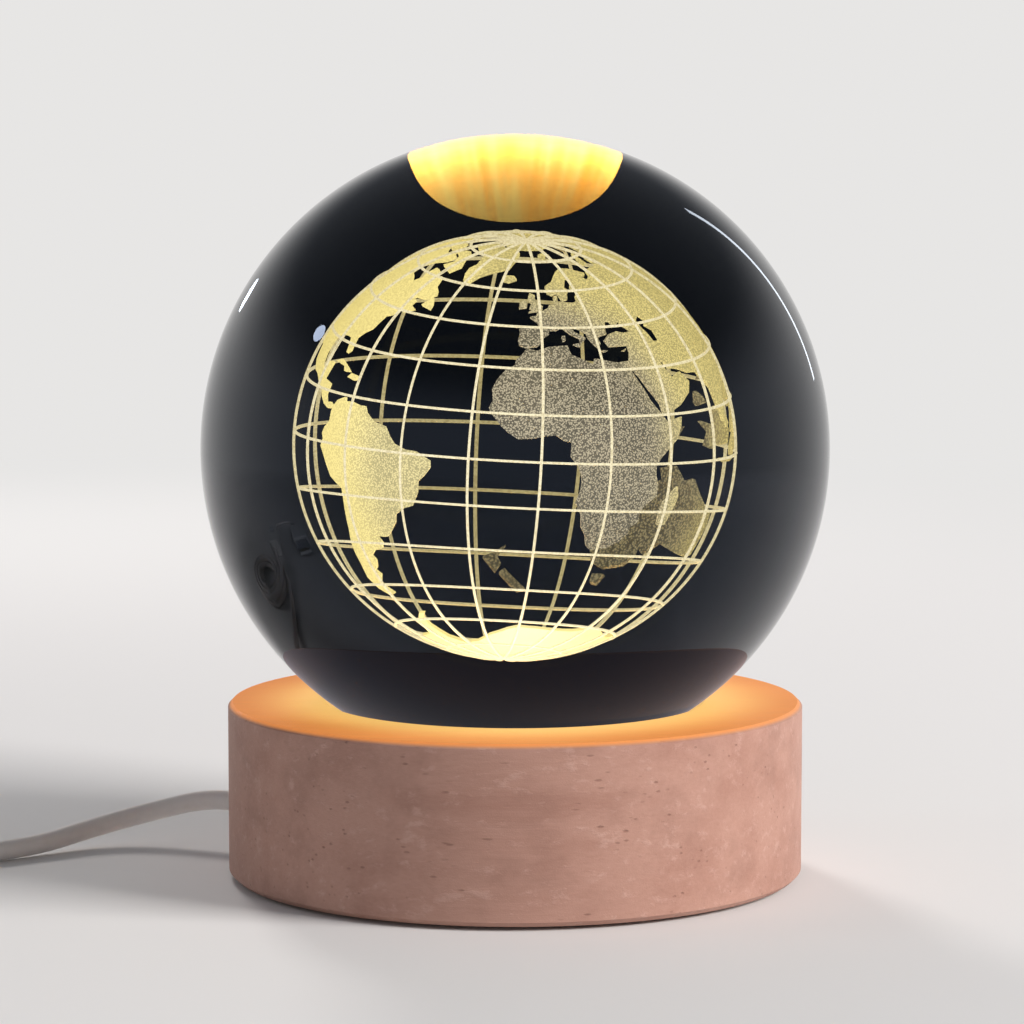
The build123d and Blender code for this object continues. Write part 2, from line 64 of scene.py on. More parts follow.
class Shade:
    """A socket among a tree's nodes. Arithmetic on it adds Math nodes."""

    def __init__(self, tree, socket=None):
        self.tree = tree
        self.socket = socket

    def node(self, kind, settings=None, inputs=None, output=0):
        """Adds a node, sets it, fills its inputs with values or sockets, and gives one output."""
        made = self.tree.nodes.new(kind)
        for name, value in (settings or {}).items():
            setattr(made, name, value)
        for name, value in (inputs or {}).items():
            if isinstance(value, Shade):
                self.tree.links.new(value.socket, made.inputs[name])
            elif isinstance(value, tuple) and made.inputs[name].type == "RGBA":
                made.inputs[name].default_value = (*value, 1.0)
            else:
                made.inputs[name].default_value = value
        return Shade(self.tree, made.outputs[output]) if made.outputs else None

    def maths(self, operation, *others):
        return self.node("ShaderNodeMath", {"operation": operation}, dict(enumerate((self, *others))))

    def __add__(self, other):
        return self.maths("ADD", other)

    def __sub__(self, other):
        return self.maths("SUBTRACT", other)

    def __mul__(self, other):
        return self.maths("MULTIPLY", other)

    def __truediv__(self, other):
        return self.maths("DIVIDE", other)

    def __pow__(self, other):
        return self.maths("POWER", other)

    def __rsub__(self, other):
        return self.node("ShaderNodeMath", {"operation": "SUBTRACT"}, {0: other, 1: self})

    __radd__ = __add__
    __rmul__ = __mul__

    def rise(self, low, high):
        """From 0 at low to 1 at high, with soft ends."""
        span = {"Value": self, "From Min": low, "From Max": high}
        return self.node("ShaderNodeMapRange", {"interpolation_type": "SMOOTHSTEP"}, span)

    def between(self, colour_a, colour_b):
        """The first colour where this is 0 and the second where it is 1."""
        return self.node("ShaderNodeMix", {"data_type": "RGBA"}, {0: self, 6: colour_a, 7: colour_b}, 2)

    def parts(self):
        """The three numbers of a vector."""
        split = self.tree.nodes.new("ShaderNodeSeparateXYZ")
        self.tree.links.new(self.socket, split.inputs[0])
        return [Shade(self.tree, socket) for socket in split.outputs]

    def vector(self, **sides):
        """A vector with these numbers for its X, Y and Z."""
        return self.node("ShaderNodeCombineXYZ", {}, sides)

    def from_axis(self):
        """How far this place is from the upright axis."""
        x, y, _ = self.parts()
        return (x * x + y * y) ** 0.5

    def stretched(self, along_x, along_y, along_z):
        """Coordinates for a pattern that repeats so many times in a metre each way."""
        return self.node("ShaderNodeMapping", {}, {"Vector": self, "Scale": (along_x, along_y, along_z)})

    def noise(self, scale=1.0, detail=3.0, roughness=0.5):
        look = {"Vector": self, "Scale": scale, "Detail": detail, "Roughness": roughness}
        return self.node("ShaderNodeTexNoise", {}, look)

    def bumps(self, depth, strength=1.0):
        """A normal from this height, which is 0 to 1 for a real depth in metres."""
        return self.node("ShaderNodeBump", {}, {"Height": self, "Distance": depth, "Strength": strength})


def finish_of(name, recipe, *look, volume=None):
    """A material from a recipe, which takes the place in the object and gives the shader's inputs."""
    material = bpy.data.materials.new(name)
    material.use_nodes = True
    material.node_tree.nodes.clear()
    place = Shade(material.node_tree).node("ShaderNodeTexCoord", output="Object")
    made = recipe(place, *look)
    surface = made if isinstance(made, Shade) else place.node("ShaderNodeBsdfPrincipled", {}, made)
    outputs = {"Surface": surface}
    if volume:
        outputs["Volume"] = place.node("ShaderNodeVolumeAbsorption", {}, volume)
    place.node("ShaderNodeOutputMaterial", {}, outputs)
    return material


def surround_colour(at):
    """The pale surround as it is seen, and dimmer as a light, so that the lamps shape the object."""
    return at.node("ShaderNodeLightPath", output="Is Diffuse Ray").between(pale, pale_light)


def floor_recipe(place):
    paper = place.node("ShaderNodeBsdfPrincipled", {}, {"Base Color": (0.78, 0.77, 0.76), "Roughness": 0.75})
    glow = place.node("ShaderNodeEmission", {}, {"Color": surround_colour(place)})
    faded = place.from_axis().rise(fade_start, fade_end)
    return place.node("ShaderNodeMixShader", {}, {0: faded, 1: paper, 2: glow})


floor_shape = bmesh.new()
bmesh.ops.create_circle(floor_shape, cap_ends=True, segments=96, radius=floor_reach)
floor_mesh = bpy.data.meshes.new("floor")
floor_shape.to_mesh(floor_mesh)
floor_shape.free()
floor_mesh.materials.append(finish_of("floor_paper", floor_recipe))
floor = bpy.data.objects.new("floor", floor_mesh)
scene.collection.objects.link(floor)

# Surround: pale near the horizon, where every view looks, and darker overhead, so that the top of the
# ball has little to mirror.
pale_up_to, dark_from = 0.16, 0.55
world = bpy.data.worlds.new("surround")
scene.world = world
world.use_nodes = True
world.node_tree.nodes.clear()
sky = Shade(world.node_tree).node("ShaderNodeTexCoord", output="Generated")
overhead = sky.parts()[2].rise(pale_up_to, dark_from)
sky_colour = overhead.between(surround_colour(sky), (0.16, 0.17, 0.19))
backdrop = sky.node("ShaderNodeBackground", {}, {"Color": sky_colour})
sky.node("ShaderNodeOutputWorld", {}, {"Surface": backdrop})

# Soft lamps: a key from the right and a weak one from behind for the lead, which the ball doesn't mirror,
# a thin strip behind for the ball's rim, and two small round lamps on the left for its highlights.
lamp_aim = Vector((0, 0, 0.04))
for name, place, size, power, colour, shape, mirrored in (
    ("key_lamp", (1.00, -0.42, 0.62), (0.50, 0.50), 19.0, (1.0, 0.97, 0.95), "RECTANGLE", False),
    ("back_lamp", (-0.24, 0.72, 0.45), (0.16, 0.16), 3.2, (1.0, 0.95, 0.92), "RECTANGLE", False),
    ("rim_lamp", (0.55, 0.88, 0.40), (0.03, 0.60), 0.25, (0.85, 0.92, 1.0), "RECTANGLE", True),
    ("left_lamp", (-0.97, 0.0, 0.63), (0.09, 0.09), 0.35, (0.92, 0.96, 1.0), "DISK", True),
    ("far_left_lamp", (-0.49, 0.97, 0.26), (0.07, 0.07), 0.2, (0.75, 0.85, 1.0), "DISK", True),
):
    light = bpy.data.lights.new(name, "AREA")
    light.shape = shape
    light.size, light.size_y = size
    light.energy = power
    light.color = colour
    lamp = bpy.data.objects.new(name, light)
    lamp.location = place
    lamp.rotation_euler = (lamp_aim - Vector(place)).to_track_quat("-Z", "Y").to_euler()
    scene.collection.objects.link(lamp)
    lamp.visible_transmission = False
    lamp.visible_glossy = mirrored

# Lead: a thin round cord with a soft white plastic jacket. It comes from the stripped end in the base,
# leaves at the back left, drops to the table, lies in a two-layer coil and ends in the switch.
millimetre = 0.001
cord_thickness = 2.6 * millimetre
exit_angle = math.radians(155.0)
exit_height = 6.0 * millimetre
exit_turn = Matrix.Rotation(exit_angle, 4, "Z")
exit_way = Vector((math.cos(exit_angle), math.sin(exit_angle), 0.0))
lead_inside, lead_exit, lead_straight = 0.0160, 0.04005, 0.04595
coil_middle = Vector((-0.0970, 0.0174))
coil_outer = 0.0203
coil_pitch = 0.0032
coil_half_turns_in = 6
coil_low, coil_high = 0.00165, 0.00485
points_per_half_turn = 8


def jacket_recipe(place):
    grey = place.noise(900.0, 2.0)
    dents = place.noise(450.0, 4.0)
    return {
        "Base Color": grey.between((0.84, 0.80, 0.775), (0.76, 0.71, 0.68)),
        "Roughness": 0.36 + grey * 0.14,
        "Normal": dents.bumps(0.00004, 0.5),
        "Subsurface Weight": 0.12,
        "Subsurface Radius": (0.002, 0.0015, 0.001),
        "Subsurface Scale": 0.6,
    }


jacket = finish_of("white_jacket", jacket_recipe)


def coil_points():
    """Control points round the coil: inwards in the lower layer, up, and outwards in the upper one."""
    inward = [coil_outer - step * coil_pitch / 2 for step in range(coil_half_turns_in + 1)]
    outward = [inward[-1] + step * coil_pitch / 2 for step in range(coil_half_turns_in)]
    outward[0] -= coil_pitch / 4
    radii = inward + outward
    levels = [coil_low] * len(inward) + [coil_high] * len(outward)
    grown_out = 1 / math.cos(math.pi / 2 / points_per_half_turn)
    points = []
    for turn, (start, end) in enumerate(zip(radii, radii[1:])):
        for step in range(points_per_half_turn):
            share = (step + 0.5) / points_per_half_turn
            angle = -math.pi / 2 - math.pi * (turn + share)
            radius = (start + (end - start) * share) * grown_out
            climb = share * share * (3 - 2 * share)
            level = levels[turn] + (levels[turn + 1] - levels[turn]) * climb
            across, back = radius * math.cos(angle), radius * math.sin(angle)
            points.append((coil_middle.x + across, coil_middle.y + back, level))
    return points


def smooth_cord(name, route, thickness, material):
    """A round cord whose middle is one smooth spline over its route."""
    curve = bpy.data.curves.new(name, "CURVE")
    curve.dimensions = "3D"
    curve.bevel_depth = thickness / 2
    curve.bevel_resolution = 5
    curve.use_fill_caps = True
    spline = curve.splines.new("NURBS")
    spline.points.add(len(route) - 1)
    for point, spot in zip(spline.points, route):
        point.co = (*spot, 1.0)
    spline.order_u = 3
    spline.use_endpoint_u = True
    spline.resolution_u = 8
    curve.materials.append(material)
    cord = bpy.data.objects.new(name, curve)
    scene.collection.objects.link(cord)
    return cord


straight_reaches = (lead_inside, lead_exit, lead_straight)
lead_route = [(exit_way.x * reach, exit_way.y * reach, exit_height) for reach in straight_reaches] + [
    (-0.0488, 0.0204, 0.0041),
    (-0.0558, 0.0177, 0.0026),
    (-0.0629, 0.0100, 0.0014),
    (-0.0714, 0.0037, 0.00135),
    (-0.0807, -0.0008, 0.0014),
    (-0.0892, -0.0029, coil_low),
]
tail_route = [
    (-0.1030, -0.0013, coil_high),
    (-0.1120, 0.0015, coil_high),
    (-0.1180, 0.0015, coil_high),
]
lead = smooth_cord("lead_cord", lead_route + coil_points() + tail_route, cord_thickness, jacket)
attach(lead, "base")
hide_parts("cord_inside", "cord_lead", "cord_coil", "cord_tail")

# End cord: the last stretch of the lead, of the same make. It comes out of the switch and turns in one
# wide bend on the table to the plug.
end_route = [
    (-0.1480, 0.0015, 0.00485),
    (-0.1532, 0.0015, 0.00485),
    (-0.1612, 0.0002, 0.0028),
    (-0.1680, -0.0056, 0.0015),
    (-0.1706, -0.0140, 0.00135),
    (-0.1680, -0.0224, 0.0015),
    (-0.1612, -0.0282, 0.0025),
    (-0.1532, -0.0295, 0.0040),
    (-0.1480, -0.0295, 0.0040),
]
end_cord = smooth_cord("end_cord", end_route, cord_thickness, jacket)
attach(end_cord, "base")
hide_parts("cord_end")


# Grommet: moulded white rubber, pushed through the wall from outside. Its flange sits in the recess,
# and a short ribbed nose tapers along the lead.
def eased(corners, cuts):
    """A profile with each corner rounded off over its own length."""
    steps = 4
    spots = [Vector(corner) for corner in corners]
    profile = []
    for place, (spot, cut) in enumerate(zip(spots, cuts)):
        if cut == 0:
            profile.append(tuple(spot))
            continue
        before = spot + (spots[place - 1] - spot).normalized() * cut
        after = spot + (spots[(place + 1) % len(spots)] - spot).normalized() * cut
        for step in range(steps + 1):
            share = step / steps
            profile.append(tuple(before.lerp(spot, share).lerp(spot.lerp(after, share), share)))
    return profile


def smooth_mesh(name, shape, sharp=35.0):
    """A finished mesh with outward faces, smooth apart from its real edges."""
    bmesh.ops.remove_doubles(shape, verts=shape.verts, dist=1e-7)
    bmesh.ops.recalc_face_normals(shape, faces=shape.faces)
    mesh = bpy.data.meshes.new(name)
    shape.to_mesh(mesh)
    shape.free()
    for polygon in mesh.polygons:
        polygon.use_smooth = True
    mesh.set_sharp_from_angle(angle=math.radians(sharp))
    return mesh


def skin(shape, rows):
    """Faces from each closed row of spots to the next. A row of one spot closes to a point."""
    for low, high in zip(rows, rows[1:]):
        for step in range(max(len(low), len(high))):
            places = ((low, step), (low, step + 1), (high, step + 1), (high, step))
            shape.faces.new(list(dict.fromkeys(row[at % len(row)] for row, at in places)))


def turned(name, profile, sides, ring=False, sharp=35.0):
    """A mesh turned round the upright axis from radius and height pairs."""
    shape = bmesh.new()
    rows = []
    for radius, level in profile:
        count = sides if radius > 0 else 1
        angles = [step * math.tau / count for step in range(count)]
        rows.append([shape.verts.new((radius * math.cos(a), radius * math.sin(a), level)) for a in angles])
    skin(shape, rows + rows[:1] if ring else rows)
    return smooth_mesh(name, shape, sharp)


def add_piece(name, mesh, material, body, slot, *nodes):
    """Puts a finished mesh on its body, in place of the nodes that it stands for."""
    mesh.materials.clear()
    mesh.materials.append(material)
    piece = bpy.data.objects.new(name, mesh)
    scene.collection.objects.link(piece)
    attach(piece, body)
    if nodes:
        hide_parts(*nodes)
    return piece


def rubber_recipe(place, colour, dust):
    specks = place.noise(1400.0, 4.0, 0.6)
    return {
        "Base Color": specks.between(colour, dust),
        "Roughness": 0.55 + specks * 0.25,
        "Normal": specks.bumps(0.00003, 0.6),
    }


white_rubber = finish_of("white_rubber", rubber_recipe, (0.74, 0.71, 0.68), (0.62, 0.59, 0.56))
grommet_corners = [
    (1.36, 24.5), (2.4, 24.5), (2.4, 35.85), (3.5, 35.85), (3.5, 37.25), (2.35, 37.25),
    (2.2, 38.0), (2.05, 38.0), (2.05, 38.3), (2.15, 38.3),
    (2.0, 39.0), (1.85, 39.0), (1.85, 39.3), (1.95, 39.3), (1.8, 40.05), (1.36, 40.05),
]
grommet_cuts = [0, 0.2, 0, 0.15, 0.45, 0.2, 0.12, 0.1, 0.1, 0.12, 0.12, 0.1, 0.1, 0.12, 0.2, 0]
grommet_profile = [(r * millimetre, z * millimetre) for r, z in eased(grommet_corners, grommet_cuts)]
grommet_mesh = turned("wall_grommet", grommet_profile, sides=48, ring=True)
lying = Matrix.Rotation(math.pi / 2, 4, "Y")
grommet_mesh.transform(Matrix.Translation((0, 0, exit_height)) @ exit_turn @ lying)
add_piece("wall_grommet", grommet_mesh, white_rubber, "base", "white_rubber", "cord_grommet")

# Tie round the coil: a paper-thin white strip with a wire down its middle, bent round the turns on the
# side next to the lamp, and its two ends twisted together on top.
tie_low, tie_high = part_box("coil_tie")
tie_size = tie_high - tie_low
tie_middle = (tie_low + tie_high) / 2
tie_thickness = 0.00025
tie_width = 0.003
tie_corner = 0.0013
twist_steps, twist_turns = 40, 2.5
twist_start, twist_reach, twist_drift = 0.001, 0.009, 0.001
twist_sunk, twist_height, twist_lift, twist_arch = 0.0002, 0.0005, 0.0012, 2.6
strand_aside, strands_part, part_from = 0.00035, 0.0008, 0.75
strip_half_width, strip_half_thickness = 0.0009, 0.00012


def tie_recipe(place):
    crease = place.noise(1500.0, 3.0)
    return {
        "Base Color": crease.between((0.80, 0.79, 0.77), (0.66, 0.65, 0.62)),
        "Roughness": 0.55,
        "Normal": crease.bumps(0.00004, 0.8),
    }


def band_mesh(name, outline, across, thickness):
    """A closed strip that follows an outline, with a raised line along its middle."""
    section = [(-0.5, 0.0), (-0.5, 0.45), (-0.15, 0.5), (0.0, 1.0), (0.15, 0.5), (0.5, 0.45), (0.5, 0.0)]
    shape = bmesh.new()
    rows = []
    for spot, out in outline:
        rows.append([shape.verts.new(spot + across * side + out * (thickness * up)) for side, up in section])
    skin(shape, rows + rows[:1])
    return smooth_mesh(name, shape, sharp=60.0)


def rounded_loop(width, depth, corner):
    """Spots and outward directions round a rounded oblong about the origin, in the XZ plane."""
    steps = 6
    loop = []
    for quarter, (side, up) in enumerate(((1, 1), (-1, 1), (-1, -1), (1, -1))):
        centre = Vector((side * (width / 2 - corner), 0, up * (depth / 2 - corner)))
        for step in range(steps + 1):
            angle = math.pi / 2 * (quarter + step / steps)
            out = Vector((math.cos(angle), 0, math.sin(angle)))
            loop.append((centre + out * corner, out))
    return loop


tie_white = finish_of("tie_strip", tie_recipe)
tie_loop = rounded_loop(tie_size.x - 2 * tie_thickness, tie_size.z - 2 * tie_thickness, tie_corner)
tie_loop = [(tie_middle + spot, out) for spot, out in tie_loop]
tie_mesh = band_mesh("coil_tie_band", tie_loop, Vector((0, tie_width, 0)), tie_thickness)
add_piece("coil_tie_band", tie_mesh, tie_white, "base", "wire_tie", "coil_tie")
twist_shape = bmesh.new()
for half_turn in (0, math.pi):
    twist_rows = []
    for step in range(twist_steps + 1):
        share = step / twist_steps
        angle = half_turn + share * math.tau * twist_turns
        middle = tie_middle + Vector((0, 0, tie_size.z / 2 - twist_sunk + twist_sunk * share))
        lift = twist_height + twist_lift * math.sin(share * twist_arch)
        middle += Vector((-twist_start - twist_reach * share, twist_drift * share, lift))
        turn = Vector((0, math.cos(angle), math.sin(angle)))
        side = Vector((0, -math.sin(angle), math.cos(angle)))
        centre = middle + turn * (strand_aside + strands_part * max(0.0, share - part_from))
        wide, thin = side * strip_half_width, turn * strip_half_thickness
        corners = ((-1, -1), (1, -1), (1, 1), (-1, 1))
        twist_rows.append([twist_shape.verts.new(centre + a * wide + b * thin) for a, b in corners])
    twist_shape.faces.new(twist_rows[0])
    skin(twist_shape, twist_rows)
    twist_shape.faces.new(twist_rows[-1])
add_piece("coil_tie_twist", smooth_mesh("coil_tie_twist", twist_shape), tie_white, "base", "wire_tie")


# Switch on the lead: two glossy white shells that meet along a fine groove, a pale grey push button with a
# dished top, and two brass strips inside. The shells and the button are moulded, with every edge softened.
def moulded_recipe(place, colour, shade):
    grain = place.noise(2600.0, 2.0)
    cloud = place.noise(60.0, 2.0)
    return {
        "Base Color": cloud.between(colour, shade),
        "Roughness": 0.3 + grain * 0.1,
        "Normal": grain.bumps(0.00001, 0.5),
    }


def metal_recipe(place, colour, shade, along, roughness):
    lines = place.stretched(*along).noise(1.0, 4.0, 0.6)
    return {
        "Base Color": lines.between(colour, shade),
        "Metallic": 1.0,
        "Roughness": roughness + lines * 0.18,
        "Normal": lines.bumps(0.00001, 0.4),
    }


def dress(material, *names):
    """Gives nodes of the frame their finish."""
    for name in names:
        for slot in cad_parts[name].material_slots:
            slot.material = material


white_plastic = finish_of("white_plastic", moulded_recipe, (0.84, 0.84, 0.82), (0.78, 0.78, 0.76))
button_plastic = finish_of("button_plastic", moulded_recipe, (0.62, 0.64, 0.66), (0.57, 0.59, 0.61))
brass = finish_of("spring_brass", metal_recipe, (0.75, 0.55, 0.2), (0.6, 0.4, 0.13), (300, 4000, 4000), 0.28)
shell_softness = 0.00022


def moulding(name, node, softness):
    """A piece moulded in white plastic: the node's own shape with its edges rounded off."""
    shape = bmesh.new()
    shape.from_mesh(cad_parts[node].data)
    bmesh.ops.remove_doubles(shape, verts=shape.verts, dist=1e-6)
    bmesh.ops.dissolve_limit(shape, angle_limit=math.radians(1), verts=shape.verts, edges=shape.edges)
    edges = [edge for edge in shape.edges if edge.is_manifold and edge.calc_face_angle() > math.radians(25)]
    bmesh.ops.bevel(
        shape, geom=edges, offset=softness, offset_type="OFFSET", segments=3, profile=0.5, affect="EDGES",
        clamp_overlap=True,
    )
    bmesh.ops.triangulate(shape, faces=[face for face in shape.faces if len(face.verts) > 4])
    add_piece(name, smooth_mesh(name, shape, sharp=50.0), white_plastic, "base", "white_plastic", node)


moulding("switch_lower_moulding", "switch_lower_shell", shell_softness)
moulding("switch_upper_moulding", "switch_upper_shell", shell_softness)
button_low, button_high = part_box("switch_button")
button_middle = (button_low + button_high) / 2
stem_radius, flange_radius, cap_radius = 0.0012, 0.0040, 0.0032
cap_top, flange_top, flange_thickness = button_high.z, 0.0084, 0.0008
button_corners = [
    (0.0, button_low.z), (stem_radius, button_low.z), (stem_radius, flange_top - flange_thickness),
    (flange_radius, flange_top - flange_thickness), (flange_radius, flange_top), (cap_radius, flange_top),
    (cap_radius, cap_top), (cap_radius - 0.0007, cap_top), (0.0012, cap_top - 0.00028),
    (0.0, cap_top - 0.0003),
]
button_cuts = [0, 0.0002, 0.0001, 0.00015, 0.00015, 0.0001, 0.0004, 0.0002, 0.0002, 0]
button_mesh = turned("switch_push_button", eased(button_corners, button_cuts), sides=64)
button_mesh.transform(Matrix.Translation((button_middle.x, button_middle.y, 0)))
add_piece("switch_push_button", button_mesh, button_plastic, "button", "button_plastic", "switch_button")
dress(brass, "switch_contacts", "plug_contacts")

# Plug: a ribbed tapered relief and a softly rounded grip, moulded in one white plastic, with raised ribs for
# the fingers on its upper side. A folded steel shell with two small windows holds the tongue.
plug_start = Vector(end_route[-1])
moulding("plug_grip_moulding", "plug_grip", softness=0.0005)
dress(white_plastic, "plug_tongue")
steel = finish_of("plug_steel", metal_recipe, (0.66, 0.67, 0.69), (0.5, 0.51, 0.53), (200, 5000, 5000), 0.25)
dress(steel, "plug_shell")
relief_bore, relief_start, relief_end, relief_length = 0.00131, 0.0018, 0.0027, 0.0080
relief_taper = 0.00095
relief_ribs, first_rib, rib_pitch, rib_drop = 5, 0.0006, 0.0015, 0.00028
grip_ribs, grip_rib, grip_rib_step = 5, (0.0007, 0.0085, 0.0005), 0.0016
grip_rib_place, grip_rib_softness = Vector((0.0125, 0.0, 0.0038)), 0.00022
relief_profile = [(relief_bore, 0.0), (relief_start, 0.0)]
for rib in range(relief_ribs):
    reach = first_rib + rib * rib_pitch
    wide = relief_start + relief_taper * reach / relief_length
    relief_profile += [(wide, reach), (wide - rib_drop, reach + 0.00015), (wide - rib_drop, reach + 0.0006),
                       (wide + 0.00006, reach + 0.00075)]
relief_profile += [(relief_end, 0.0078), (relief_end, relief_length), (relief_bore, relief_length)]
relief_mesh = turned("plug_relief_ribs", relief_profile, sides=40, ring=True, sharp=50.0)
relief_mesh.transform(Matrix.Translation(plug_start) @ lying)
add_piece("plug_relief_ribs", relief_mesh, white_plastic, "base", "white_plastic", "plug_relief")


def new_tree(name, inputs):
    """A Geometry Nodes tree with named inputs. Gives its tree and its input sockets."""
    tree = bpy.data.node_groups.new(name, "GeometryNodeTree")
    for label, kind in inputs.items():
        tree.interface.new_socket(label, in_out="INPUT", socket_type="NodeSocket" + kind)
    tree.interface.new_socket("Geometry", in_out="OUTPUT", socket_type="NodeSocketGeometry")
    given = tree.nodes.new("NodeGroupInput")
    return tree, {label: Shade(tree, given.outputs[label]) for label in inputs}


def copies_at(spots, item, given, **ways):
    """Copies of an item on spots, as many as the tree's count."""
    points = item.node("GeometryNodePoints", {}, {"Count": given["Count"], "Position": spots})
    return points.node("GeometryNodeInstanceOnPoints", {}, {"Points": points, "Instance": item, **ways})


def close_tree(shape, given):
    """Ends a tree in Realize Instances and Set Material."""
    real = shape.node("GeometryNodeRealizeInstances", {}, {"Geometry": shape})
    done = real.node("GeometryNodeSetMaterial", {}, {"Geometry": real, "Material": given["Material"]})
    done.node("NodeGroupOutput", {}, {"Geometry": done})


def plain_mesh(carrier):
    """The plain mesh that an object shows. Its modifiers and the object itself are removed."""
    graph = bpy.context.evaluated_depsgraph_get()
    mesh = bpy.data.meshes.new_from_object(carrier.evaluated_get(graph), depsgraph=graph)
    carrier.modifiers.clear()
    bpy.data.objects.remove(carrier)
    return mesh


def grown(name, tree, values, start=None):
    """The plain mesh that a tree makes with these input values."""
    carrier = bpy.data.objects.new(name, start or bpy.data.meshes.new(name))
    scene.collection.objects.link(carrier)
    modifier = carrier.modifiers.new(name, "NODES")
    modifier.node_group = tree
    for socket in tree.interface.items_tree:
        if socket.in_out == "INPUT" and socket.name in values:
            modifier[socket.identifier] = values[socket.name]
    return plain_mesh(carrier)


rib_inputs = {"Item": "Geometry", "Count": "Int", "Step": "Float", "Material": "Material"}
rib_tree, given = new_tree("row of ribs", rib_inputs)
along = given["Count"].node("GeometryNodeInputIndex") * given["Step"]
close_tree(copies_at(along.vector(X=along), given["Item"], given), given)
bar = bmesh.new()
bmesh.ops.create_cube(bar, size=1.0, matrix=Matrix.Diagonal((*grip_rib, 1.0)))
bmesh.ops.bevel(bar, geom=bar.edges[:], offset=grip_rib_softness, segments=2, profile=0.5, affect="EDGES")
bar_mesh = smooth_mesh("finger_rib", bar, sharp=60.0)
rib_values = {"Count": grip_ribs, "Step": grip_rib_step, "Material": white_plastic}
ribs_mesh = grown("plug_finger_ribs", rib_tree, rib_values, bar_mesh)
ribs_mesh.transform(Matrix.Translation(plug_start + grip_rib_place))
add_piece("plug_finger_ribs", ribs_mesh, white_plastic, "base", "white_plastic")

# Wooden base: one block of light beech, turned round, its edges just broken, and left with a thin satin
# oil. Underneath it is bored out for the light. Its top next to the ball has painted lamp light: a warmer,
# darker colour and an orange glow.
base_top, seat_floor, seat_radius = 0.0225, 0.0209, 0.02432
glow_start, glow_end = 0.0235, 0.0365
beech_light, beech_dark = (0.47, 0.265, 0.205), (0.385, 0.20, 0.15)
glow_near, glow_far = (1.0, 0.60, 0.17), (1.0, 0.31, 0.05)


def beech_recipe(place):
    z = place.parts()[2]
    away = place.from_axis()
    bent = place.stretched(18, 60, 60).noise(1.0, 2.0)
    fibres = place.stretched(140, 2600, 2600).noise(1.0, 4.0, 0.62)
    rings = (place.stretched(14, 210, 210).noise(1.0, 2.0) * 9.0 + bent * 2.0).maths("SINE")
    figure = fibres * 0.55 + (rings * 0.5 + 0.5) * 0.3 + bent * 0.2
    wood = figure.rise(0.2, 0.85).between(beech_light, beech_dark)
    clouds = place.stretched(95, 130, 130).noise(1.0, 5.0, 0.62).rise(0.46, 0.72)
    wood = (clouds * 0.45).between(wood, (0.27, 0.135, 0.10))
    bare = place.stretched(260, 620, 620).noise(1.0, 5.0, 0.72).rise(0.53, 0.70)
    wood = (bare * 0.36).between(wood, (0.63, 0.41, 0.34))
    fleck_place = place.stretched(210, 1150, 1150)
    flecks = fleck_place.node("ShaderNodeTexVoronoi", {}, {"Vector": fleck_place, "Scale": 1.0})
    scattered = place.stretched(160, 420, 420).noise(1.0, 2.0).rise(0.50, 0.64)
    marks = (1 - flecks.rise(0.08, 0.24)) * scattered
    wood = (marks * 0.5).between(wood, (0.18, 0.08, 0.055))
    pores = place.noise(5200.0, 3.0, 0.7)
    # Painted light: on the top and the seat's floor the wood gets a darker orange colour and an orange glow,
    # strongest next to the ball and fading outwards.
    on_top = z.rise(base_top - 0.0006, base_top - 0.0001)
    over_seat = away.rise(seat_radius + 0.0004, seat_radius + 0.0002)
    lit = on_top.maths("MAXIMUM", over_seat * z.rise(seat_floor - 0.0004, seat_floor - 0.0001))
    reach = away.rise(glow_start, glow_end)
    # Painted reflection: in reflections the wood's glow is swapped for a slate blue, which the ball mirrors.
    mirrored = place.node("ShaderNodeLightPath", output="Is Reflection Ray")
    painted_glow_strength = lit * (1.05 - reach * 0.35) * (0.75 + fibres * 0.5)
    painted_glow = painted_glow_strength.between((0.0, 0.0, 0.0), reach.between(glow_near, glow_far))
    return {
        "Base Color": lit.between(wood, (fibres * 0.6).between((0.32, 0.16, 0.075), (0.25, 0.11, 0.045))),
        "Roughness": 0.42 + pores * 0.2 + fibres * 0.12,
        "Normal": (fibres * 0.5 + pores * 0.5 + bare * 0.4 - marks * 0.9).bumps(0.00010, 0.7),
        "Emission Color": (lit * mirrored * 0.92).between(painted_glow, (0.26, 0.31, 0.40)),
        "Emission Strength": 0.82,
    }


dress(finish_of("turned_beech", beech_recipe), "wood_base")

# Light window: an opal acrylic disc let into the seat's floor. The six chips light it from below, most
# in its middle.
window_middle, window_rim = 0.002, 0.0135


def window_recipe(place):
    lit = place.from_axis().rise(window_rim, window_middle)
    return {
        "Base Color": (0.85, 0.8, 0.7),
        "Roughness": 0.35,
        "Emission Color": lit.between((0.80, 0.44, 0.14), (1.0, 0.72, 0.36)),
        "Emission Strength": 1.05,
    }


dress(finish_of("opal_acrylic", window_recipe), "light_window")

# Light board: a white solder-masked disc on the pocket's ceiling with six light chips and three resistors.
# Three pan-head screws hold it, with their cross recesses downwards.
board_bottom = 0.0143
board_screw_circle = 0.0165
screw_sides = 24


def board_recipe(place):
    track = ((place.from_axis() * 2400.0).maths("SINE") * 0.5 + 0.5).rise(0.7, 0.9)
    cloud = place.noise(300.0, 2.0)
    return {
        "Base Color": (track * 0.35 + cloud * 0.1).between((0.80, 0.82, 0.80), (0.62, 0.66, 0.63)),
        "Roughness": 0.35 + cloud * 0.1,
        "Normal": track.bumps(0.00003, 0.6),
    }


def chip_recipe(place):
    yellow = moulded_recipe(place, (0.90, 0.72, 0.18), (0.95, 0.82, 0.35))
    return {**yellow, "Emission Color": (1.0, 0.8, 0.4), "Emission Strength": 1.5}


